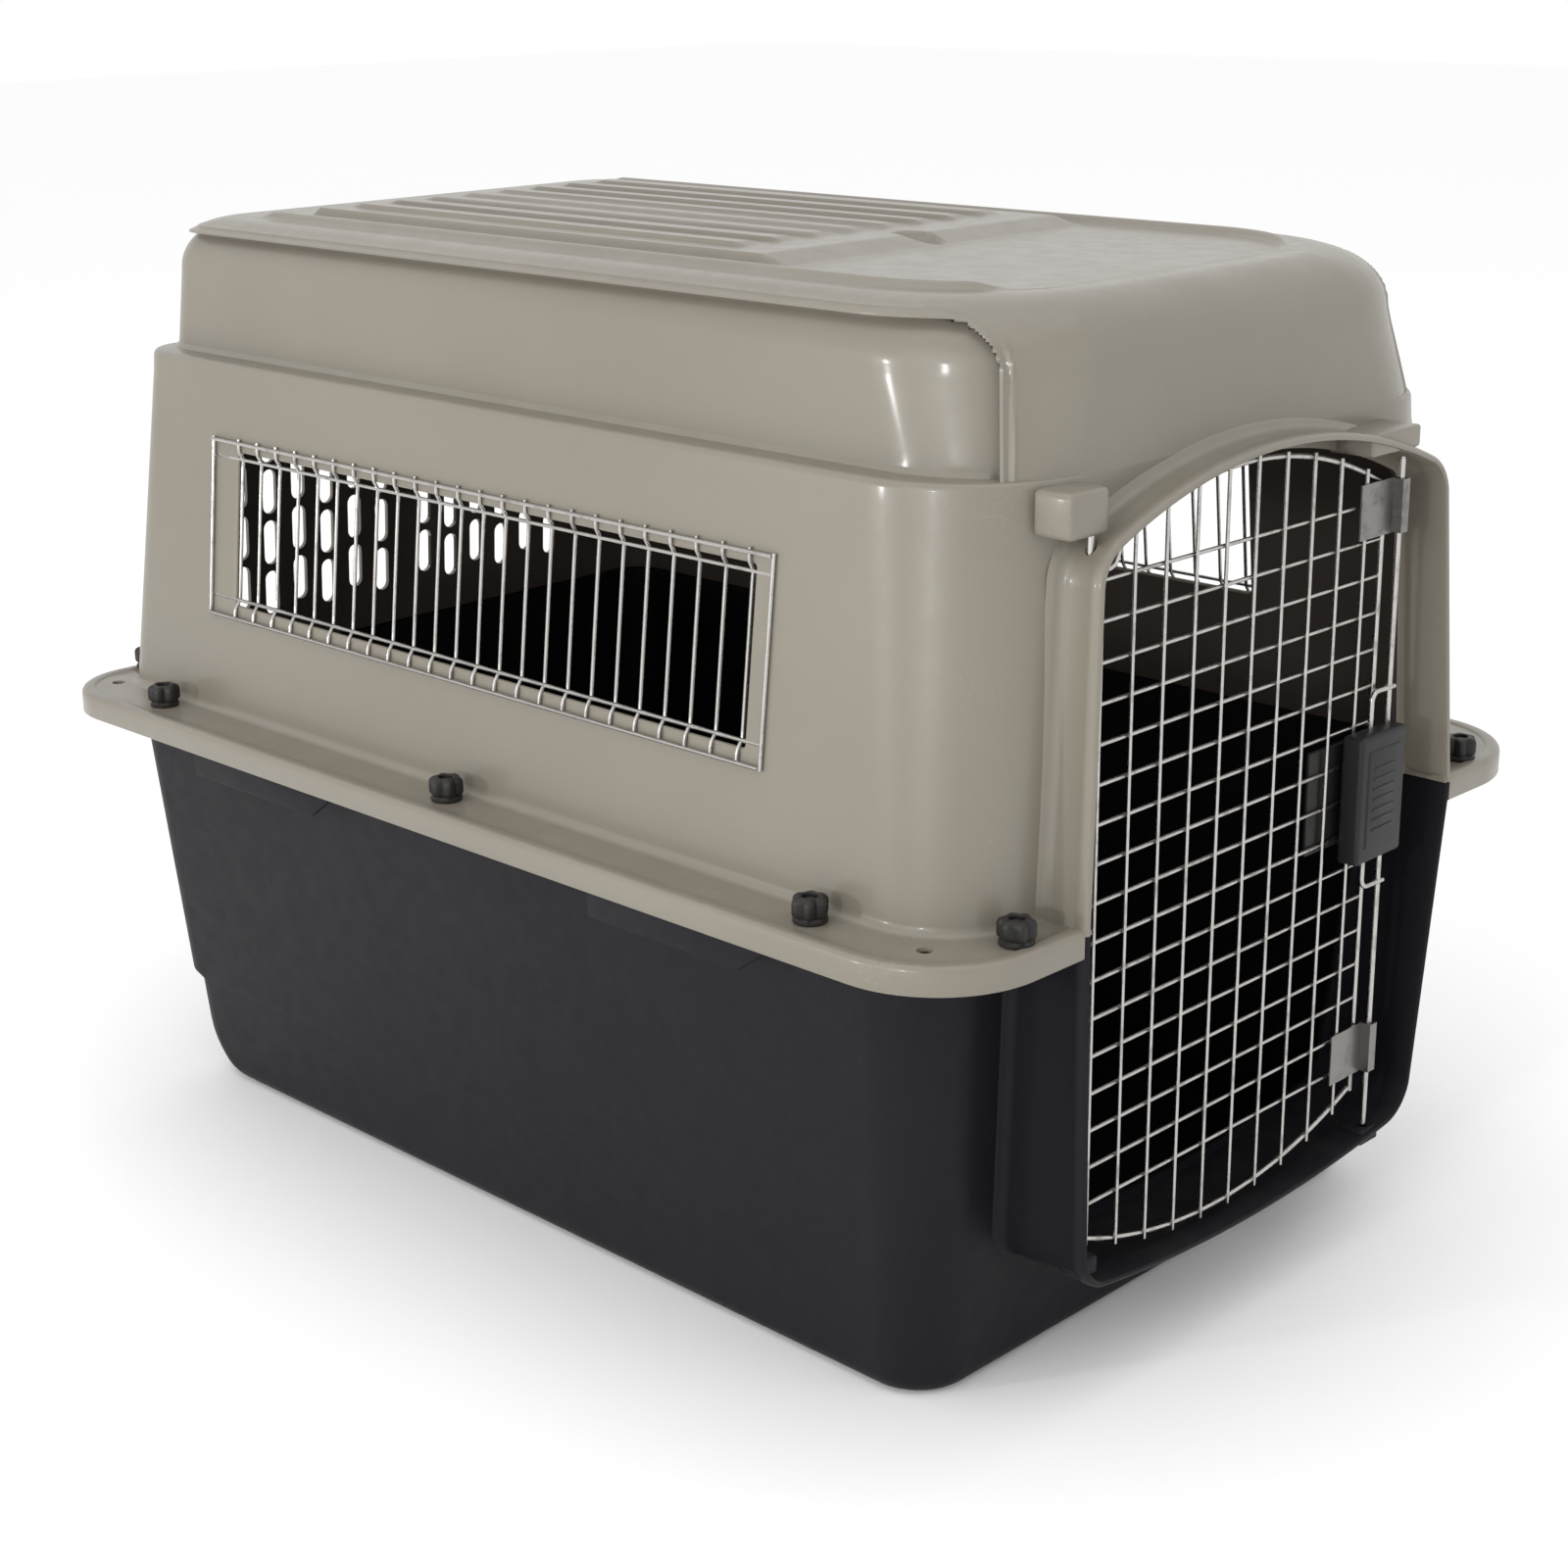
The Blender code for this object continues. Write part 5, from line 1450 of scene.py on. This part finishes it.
@dataclass
class WindowGrille:
    """A welded wire grille over one side window.

    Attributes:
        side: +1 for the left side, -1 for the right.
        span_x: rear and front wires of the frame.
        wires: number of upright wires between them.
        radius: of every wire.
        between_x: first and last upright.
        rows: rise of each lengthwise wire, and its dip into the window.
    """

    side: int
    span_x: tuple[float, float] = (-0.310, 0.262)
    wires: int = 24
    radius: float = 0.0013
    between_x: tuple[float, float] = (-0.283 + 0.004, 0.248 - 0.006)
    rows: tuple[tuple[float, float], ...] = ((0.090, 0.0), (0.103, 0.0042), (0.205, 0.0042),
                                             (0.217, 0.0))

    def spot(self, x: float, rise: float, lift: float) -> Vector:
        """A point at a height, `lift` out of the side wall."""
        return Vector((x, self.side * (side_wall_y(rise) + lift), SEAM_Z + rise))

    def build(self, name: str, material: bpy.types.Material) -> bpy.types.Object:
        """Build the grille."""
        builder = bmesh.new()
        near, far = self.radius + 0.0004, self.radius * 2.6
        first, last = self.between_x
        pitch = (last - first) / (self.wires - 1)
        for index in range(self.wires):
            x = first + pitch * index
            sweep(builder, [self.spot(x, rise, near - dip) for rise, dip in UPRIGHT_PATH],
                  self.radius, 8)
        for rise, dip in self.rows:
            sweep(builder, [self.spot(x, rise, far - dip) for x in self.span_x], self.radius, 8)
        for x in self.span_x:
            sweep(builder, [self.spot(x, rise, near) for rise in (0.0885, 0.154, 0.2185)],
                  self.radius, 8)
        return mesh_piece(name, builder, material)


@dataclass
class WireDoor:
    """The welded wire door with its hinge rod.

    Attributes:
        x: the door's plane.
        hinge_y: the hinge rod.
        free_y: the upright at the latch side.
        wire: radius of the lattice wires.
        frame: radius of the frame wires.
        arch: crown and radius of the upper frame wire.
        foot: crown and radius of the lower frame wire.
        corner_y: between these the upper wire drops towards the hinge.
        corner_rise: its height at the hinge.
        columns: number of upright lattice wires.
        column_start: way from the hinge to the first of them.
        column_pitch: distance between them.
        rows: number of level lattice wires.
        row_start: height of the uppermost.
        row_pitch: distance between them.
        touch: how close the two layers lie, as a share of the wire's radius.
        rod: radius of the hinge rod.
        rod_ends: heights of the rod's ends and of the short stubs beyond them.
        frame_steps: divisions of a frame wire.
    """

    x: float = 0.433
    hinge_y: float = -0.172
    free_y: float = 0.130
    wire: float = 0.0013
    frame: float = 0.0019
    arch: tuple[float, float] = (0.2605, 0.33)
    foot: tuple[float, float] = (0.227, 0.38)
    corner_y: tuple[float, float] = (-0.151, -0.138)
    corner_rise: float = 0.219
    columns: int = 10
    column_start: float = 0.010
    column_pitch: float = 0.030
    rows: int = 17
    row_start: float = 0.213
    row_pitch: float = 0.02444
    touch: float = 0.85
    rod: float = 0.0024
    rod_ends: tuple[float, ...] = (-0.2135, -0.2120, 0.2545, 0.2560)
    frame_steps: int = 64

    def edge_rise(self, y: float, upper: bool) -> float:
        """Height of the upper or lower arched frame wire from the seam."""
        middle = (self.hinge_y + self.free_y) / 2
        crown, radius = self.arch if upper else self.foot
        drop = radius - math.sqrt(radius ** 2 - (y - middle) ** 2)
        if not upper:
            return drop - crown
        low_y, high_y = self.corner_y
        share = smoothstep((y - low_y) / (high_y - low_y))
        return self.corner_rise + (crown - drop - self.corner_rise) * share

    def build(self, name: str, material: bpy.types.Material) -> bpy.types.Object:
        """Build the door."""
        builder = bmesh.new()
        front, back = self.x + self.wire * self.touch, self.x - self.wire * self.touch
        for index in range(self.columns):
            y = self.hinge_y + self.column_start + self.column_pitch * index
            low = SEAM_Z + self.edge_rise(y, False) - 0.0035
            high = SEAM_Z + self.edge_rise(y, True) + 0.0030
            sweep(builder, [Vector((front, y, low)), Vector((front, y, high))], self.wire)
        for row in range(self.rows):
            z = SEAM_Z + (self.row_start - self.row_pitch * row)
            sweep(builder, [Vector((back, self.hinge_y - 0.003, z)),
                            Vector((back, self.free_y + 0.002, z))], self.wire)
        for upper in (True, False):
            path = []
            for index in range(self.frame_steps + 1):
                y = self.hinge_y + (self.free_y - self.hinge_y) * index / self.frame_steps
                path.append(Vector((back, y, SEAM_Z + self.edge_rise(y, upper))))
            sweep(builder, path, self.frame)
        low = SEAM_Z + self.edge_rise(self.free_y, False) - 0.002
        high = SEAM_Z + self.edge_rise(self.free_y, True) + 0.002
        sweep(builder, [Vector((self.x, self.free_y, z)) for z in (low, high)], self.frame)
        sweep(builder, [Vector((self.x, self.hinge_y, SEAM_Z + rise)) for rise in self.rod_ends],
              self.rod, 14)
        return mesh_piece(name, builder, material)


# ------------------------------------------------------------------ the latch
@dataclass
class Latch:
    """The squeeze latch on the door.

    Attributes:
        bolt_x: depth of the bolts.
        bolt_y: the bolts' line.
        low_rise: lower end of the housing.
        high_rise: upper end of the housing.
        near_y: the housing's edge towards the hinge.
        far_y: the housing's edge at the hood.
        front_x: the housing's front.
        back_x: its back.
        margin: border round its raised pad, across and up.
        ribs: number of finger ribs.
        rib_pitch: distance between them.
        rib_half: half a rib's width and half its height.
        plate: corners of the plate behind the wires, with rises from the seam.
        plate_borders: lower and upper rise of each raised border.
        bolt_radius: of the bolts.
        bolt_start: how far from the housing's middle a bolt begins.
        finger_y: how far the finger wire stands from the bolt.
        finger_bend: radius of its bend.
        finger_reach: how far it stands out of the housing.
        bead: radius of the weld at its end.
    """

    bolt_x: float = 0.4395
    bolt_y: float = 0.1395
    low_rise: float = -0.022
    high_rise: float = 0.065
    near_y: float = 0.093
    far_y: float = 0.146
    front_x: float = 0.4530
    back_x: float = 0.4353
    margin: tuple[float, float] = (0.008, 0.010)
    ribs: int = 7
    rib_pitch: float = 0.0070
    rib_half: tuple[float, float] = (0.0130, 0.0012)
    plate: tuple[Point, Point] = ((0.4277, 0.0640, -0.012), (0.4307, 0.1500, 0.058))
    plate_borders: tuple[tuple[float, float], ...] = ((0.0545, 0.0558), (-0.0098, -0.0085))
    bolt_radius: float = 0.0020
    bolt_start: float = 0.021
    finger_y: float = 0.020
    finger_bend: float = 0.0065
    finger_reach: float = 0.024
    bead: float = 0.0028

    def build_housing(self, name: str, material: bpy.types.Material) -> bpy.types.Object:
        """Build the cover in front of the wires, with its finger ribs."""
        builder = bmesh.new()
        low, high = SEAM_Z + self.low_rise, SEAM_Z + self.high_rise
        soft_box(builder, (self.back_x, self.near_y, low),
                 (self.front_x - 0.0015, self.far_y, high), 0.0032, 4)
        across, up = self.margin
        soft_box(builder, (self.front_x - 0.0040, self.near_y + across, low + up),
                 (self.front_x - 0.0006, self.far_y - across, high - up), 0.0013, 3)
        middle_y = (self.near_y + self.far_y) / 2
        half_y, half_z = self.rib_half
        for index in range(self.ribs):
            z = (low + high) / 2 + (index - self.ribs // 2) * self.rib_pitch
            soft_box(builder, (self.front_x - 0.0022, middle_y - half_y, z - half_z),
                     (self.front_x, middle_y + half_y, z + half_z), 0.0008, 2)
        return mesh_piece(name, builder, material)

    def build_plate(self, name: str, material: bpy.types.Material) -> bpy.types.Object:
        """Build the plate behind the wires, with its raised border."""
        builder = bmesh.new()
        low, high = self.plate
        soft_box(builder, raised(low), raised(high), 0.0011, 3)
        for lower, upper in self.plate_borders:
            soft_box(builder, raised((0.4273, 0.0665, lower)), raised((0.4285, 0.1475, upper)),
                     0.0004, 2)
        return mesh_piece(name, builder, material)

    def build_bolt(self, name: str, upper: bool, tip_rise: float, material: bpy.types.Material
                   ) -> bpy.types.Object:
        """Build one bolt: a straight rod with a bent finger wire welded to it.

        Args:
            name: the piece's name.
            upper: whether it is the upper bolt.
            tip_rise: the tip's height from the seam.
            material: its finish.

        Returns:
            The new piece.
        """
        sign = 1 if upper else -1
        end = self.high_rise if upper else self.low_rise
        middle = (self.low_rise + self.high_rise) / 2
        radius = self.bolt_radius
        builder = bmesh.new()
        stops = (middle + sign * self.bolt_start, tip_rise - sign * 0.0012)
        sweep(builder, [Vector((self.bolt_x, self.bolt_y, SEAM_Z + rise)) for rise in stops],
              radius, 14)
        sweep(builder, [Vector((self.bolt_x, self.bolt_y, SEAM_Z + tip_rise - sign * 0.0013)),
                        Vector((self.bolt_x, self.bolt_y, SEAM_Z + tip_rise))], radius * 0.75, 14)
        leg_y, bend = self.bolt_y - self.finger_y, self.finger_bend
        top = end + sign * self.finger_reach
        path = [Vector((self.bolt_x, leg_y, SEAM_Z + end - sign * 0.006)),
                Vector((self.bolt_x, leg_y, SEAM_Z + top - sign * bend))]
        for index in range(1, 7):
            turn = math.radians(15 * index)
            path.append(Vector((self.bolt_x, leg_y + bend * (1 - math.cos(turn)),
                                SEAM_Z + top - sign * bend * (1 - math.sin(turn)))))
        path.append(Vector((self.bolt_x + 0.0008, self.bolt_y + 0.0045, SEAM_Z + top)))
        sweep(builder, path, radius * 0.92, 12)
        bead = Matrix.Translation((self.bolt_x, self.bolt_y, SEAM_Z + top))
        bmesh.ops.create_uvsphere(builder, u_segments=14, v_segments=8, radius=self.bead,
                                  matrix=bead @ Matrix.Diagonal((0.95, 1.0, 0.9, 1.0)))
        return mesh_piece(name, builder, material)


# -------------------------------------------------------------- the hand nuts
NUT_PROFILE = ((0.0098, 0.0, -0.0012), (0.0106, 0.0, -0.0004), (0.0106, 0.0, 0.0010),
               (0.0096, 0.0, 0.0018), (0.0096, 0.10, 0.0024), (0.0113, 0.22, 0.0034),
               (0.0118, 0.25, 0.0050), (0.0118, 0.25, 0.0105), (0.0115, 0.25, 0.0122),
               (0.0106, 0.25, 0.0135), (0.0092, 0.22, 0.0143), (0.0070, 0.10, 0.0147),
               (0.0056, 0.0, 0.0147), (0.0050, 0.0, 0.0141), (0.0048, 0.0, 0.0118),
               (0.0030, 0.0, 0.0114), (0.0029, 0.0, 0.0128), (0.0012, 0.0, 0.0132))
"""A nut from its foot up: radius, depth of the lobes as a share of it, and height."""


@dataclass
class HandNuts:
    """The lobed nuts that hold the two flanges together.

    Attributes:
        count: number of nuts.
        lobes: number of lobes.
        steps: points round each lobe.
        twist: turn from one nut to the next, in radians.
        lift: how far the nuts stand above the lip.
    """

    count: int = 10
    lobes: int = 6
    steps: int = 12
    twist: float = 0.61
    lift: float = 0.0003

    def places(self) -> list[tuple[float, float]]:
        """Middle of each nut in plan, in the order of the frame's nodes."""
        found = []
        for number in range(1, self.count + 1):
            low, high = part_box(f"hand_nut_{number:02d}")
            found.append(((low.x + high.x) / 2, (low.y + high.y) / 2))
        return found

    def lobed_ring(self, radius: float, share: float, z: float, turn: float) -> Ring:
        """A ring whose radius swells at each lobe."""
        ring = []
        count = self.lobes * self.steps
        for index in range(count):
            angle = 2 * math.pi * index / count
            wave = 0.5 + 0.5 * math.cos(self.lobes * angle)
            reach = radius * (1 - share * (1 - wave ** 0.7))
            ring.append((reach * math.cos(angle + turn), reach * math.sin(angle + turn), z))
        return ring

    def build(self, name: str, material: bpy.types.Material) -> bpy.types.Object:
        """Build all the nuts as one piece."""
        builder = bmesh.new()
        for number, (x, y) in enumerate(self.places()):
            part = bmesh.new()
            turn = number * self.twist
            skin(part, [self.lobed_ring(radius, share, z, turn)
                        for radius, share, z in NUT_PROFILE])
            bmesh.ops.translate(part, verts=part.verts, vec=(x, y, LIP_TOP + self.lift))
            bmesh.ops.recalc_face_normals(part, faces=part.faces)
            join_into(builder, part)
        return mesh_piece(name, builder, material, CURVED_SHARP_DEG)


# ----------------------------------------------------------------- the studio
@dataclass(frozen=True)
class Lamp:
    """One soft lamp.

    Attributes:
        name: its name.
        place: where it hangs.
        aim: the point that it looks at.
        size: width and height of its panel.
        watts: its power.
    """

    name: str
    place: Point
    aim: Point
    size: tuple[float, float]
    watts: float

    def hang(self) -> None:
        """Hang the lamp in the scene."""
        data = bpy.data.lights.new(self.name, "AREA")
        data.shape = "RECTANGLE"
        data.size, data.size_y = self.size
        data.energy = self.watts
        item = bpy.data.objects.new(self.name, data)
        item.location = self.place
        way = Vector(self.place) - Vector(self.aim)
        item.rotation_euler = way.to_track_quat("Z", "Y").to_euler()
        bpy.context.scene.collection.objects.link(item)


LAMPS = (
    Lamp("overhead", (0.2, -0.3, 3.2), (0.0, 0.0, 0.3), (3.6, 3.2), 20.0),
    Lamp("front_left", (0.7, -3.4, 1.6), (0.0, 0.0, 0.3), (2.2, 2.0), 17.0),
    Lamp("front_right", (3.4, 0.5, 1.5), (0.1, 0.0, 0.3), (2.0, 2.0), 5.0),
    Lamp("window_1", (-0.80, -2.45, 0.68), (0.34, -0.21, 0.63), (0.13, 0.13), 11.0),
    Lamp("window_2", (0.96, -2.62, 0.86), (0.34, -0.21, 0.63), (0.13, 0.13), 11.0),
)


@dataclass
class Studio:
    """Floor, lights and camera.

    Attributes:
        eye: where the camera stands.
        azimuth_deg: its bearing round the carrier.
        elevation_deg: how far it looks down.
        roll_deg: its roll.
        sensor_mm: width of its sensor.
        lens_mm: its focal length.
        floor_half: half the floor's width.
    """

    eye: Point = (1.3284, -1.3281, 0.8776)
    azimuth_deg: float = 44.564
    elevation_deg: float = 17.941
    roll_deg: float = -0.686
    sensor_mm: float = 36.0
    lens_mm: float = 60.91875
    floor_half: float = 14.0

    def camera(self) -> None:
        """Set the camera."""
        azimuth, elevation, roll = [math.radians(v) for v in
                                    (self.azimuth_deg, self.elevation_deg, self.roll_deg)]
        back = Vector((math.sin(azimuth) * math.cos(elevation),
                       -math.cos(azimuth) * math.cos(elevation), math.sin(elevation)))
        right = (-back).cross(Vector((0, 0, 1))).normalized()
        up = right.cross(-back)
        level = right * math.cos(roll) + up * math.sin(roll)
        tall = -right * math.sin(roll) + up * math.cos(roll)
        data = bpy.data.cameras.new("camera")
        data.sensor_width = self.sensor_mm
        data.lens = self.lens_mm
        data.clip_start, data.clip_end = 0.05, 50.0
        item = bpy.data.objects.new("camera", data)
        turn = Matrix((level, tall, back)).transposed().to_4x4()
        item.matrix_world = Matrix.Translation(self.eye) @ turn
        bpy.context.scene.collection.objects.link(item)
        bpy.context.scene.camera = item

    def floor(self) -> None:
        """Lay the plain pale floor."""
        builder = bmesh.new()
        bmesh.ops.create_grid(builder, x_segments=2, y_segments=2, size=self.floor_half,
                              matrix=Matrix.Translation((0, 0, -0.0005)))
        material = bpy.data.materials.new("pale_floor")
        material.use_nodes = True
        shader = material.node_tree.nodes["Principled BSDF"]
        shader.inputs["Base Color"].default_value = (0.97, 0.97, 0.97, 1.0)
        shader.inputs["Roughness"].default_value = 0.9
        mesh_piece("floor", builder, material)

    def lights(self) -> None:
        """Hang the lamps and set the surrounding light."""
        for lamp in LAMPS:
            lamp.hang()
        world = bpy.data.worlds.new("surroundings")
        world.use_nodes = True
        background = world.node_tree.nodes["Background"]
        background.inputs["Color"].default_value = (1.0, 1.0, 1.0, 1.0)
        background.inputs["Strength"].default_value = 1.0
        bpy.context.scene.world = world

    def build(self) -> None:
        """Set up the whole studio."""
        bpy.context.scene.view_settings.view_transform = "Standard"
        self.camera()
        self.floor()
        self.lights()


# ------------------------------------------------------------------- assembly
class Carrier:
    """The whole carrier: builds each piece and hangs it on its body."""

    def __init__(self, frame: dict) -> None:
        """Keep the frame and mix the finishes."""
        self.frame = frame
        self.palette = Palette()

    def hang(self, piece: bpy.types.Object, body: str, slot: Slot, *nodes: str) -> None:
        """Hang a piece on its body and hide the nodes it stands for."""
        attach(piece, body)
        if nodes:
            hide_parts(*nodes)
        LOG.info("%s rides on %s: %d faces", piece.name, body, len(piece.data.polygons))

    def shells(self) -> None:
        """Build the cover and the tub."""
        cover, tub, palette = Cover(), Tub(), self.palette
        # Each shell's second finish is the darker copy that paints shade on its inner faces.
        self.hang(cover.build_shell(palette.taupe, palette.inside), "root", Slot.TAUPE, "top_shell")
        self.hang(Roof().build(palette.taupe), "root", Slot.TAUPE)
        self.hang(COVER_HOOD.build("cover_hood", palette.taupe), "root", Slot.TAUPE)
        self.hang(build_bosses("cover_bosses", COVER_BOSSES, bores(COVER_BORES), palette.taupe),
                  "root", Slot.TAUPE)
        self.hang(cover.build_window_trim(palette.taupe), "root", Slot.TAUPE)
        self.hang(tub.build_shell(palette.dark, palette.painted_shade_dark), "root", Slot.DARK, "bottom_shell")
        self.hang(TUB_HOOD.build("tub_hood", palette.dark), "root", Slot.DARK)
        self.hang(tub.build_grips(palette.dark), "root", Slot.DARK)
        self.hang(build_bosses("tub_bosses", TUB_BOSSES, bores(TUB_BORES), palette.dark),
                  "root", Slot.DARK)

    def wirework(self) -> None:
        """Build the grilles and the door."""
        zinc = self.palette.zinc
        for side, label in ((1, "left"), (-1, "right")):
            grille = WindowGrille(side).build(f"{label}_grille", zinc)
            self.hang(grille, "root", Slot.WIRE, f"{label}_window_grille")
        self.hang(WireDoor().build("door_wires", zinc), "door", Slot.WIRE, "wire_door")

    def latch(self) -> None:
        """Build the latch and its bolts."""
        latch, palette = Latch(), self.palette
        self.hang(latch.build_housing("latch_cover", palette.latch), "door", Slot.NYLON,
                  "latch_housing_front")
        self.hang(latch.build_plate("latch_plate", palette.nylon), "door", Slot.NYLON,
                  "latch_housing_back")
        for label, upper, tip in (("upper", True, 0.2415), ("lower", False, -0.2243)):
            bolt = latch.build_bolt(f"{label}_latch_rod", upper, tip, palette.zinc)
            self.hang(bolt, f"{label}_bolt", Slot.WIRE, f"{label}_bolt")

    def fasteners(self) -> None:
        """Build the hand nuts."""
        nuts = HandNuts().build("hand_nuts", self.palette.nylon)
        self.hang(nuts, "root", Slot.NYLON, *[f"hand_nut_{n:02d}" for n in range(1, 11)])

    def dress_frame(self) -> None:
        """Give each node of the frame that still shows its finish."""
        for name, node in self.frame["nodes"].items():
            if node.hide_render:
                continue
            plated = "guide" in name or "spring" in name
            node.data.materials.clear()
            node.data.materials.append(self.palette.sheet if plated else self.palette.nylon)

    def build(self) -> None:
        """Build everything in order."""
        self.shells()
        self.wirework()
        self.latch()
        self.fasteners()
        self.dress_frame()


def clear_default_scene() -> None:
    """Remove what a new scene starts with."""
    for item in list(bpy.data.objects):
        bpy.data.objects.remove(item, do_unlink=True)


def main() -> None:
    """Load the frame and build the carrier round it."""
    logging.basicConfig(level=logging.INFO, format="%(message)s")
    clear_default_scene()
    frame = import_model()
    Carrier(frame).build()
    Studio().build()


if __name__ == "__main__":
    main()
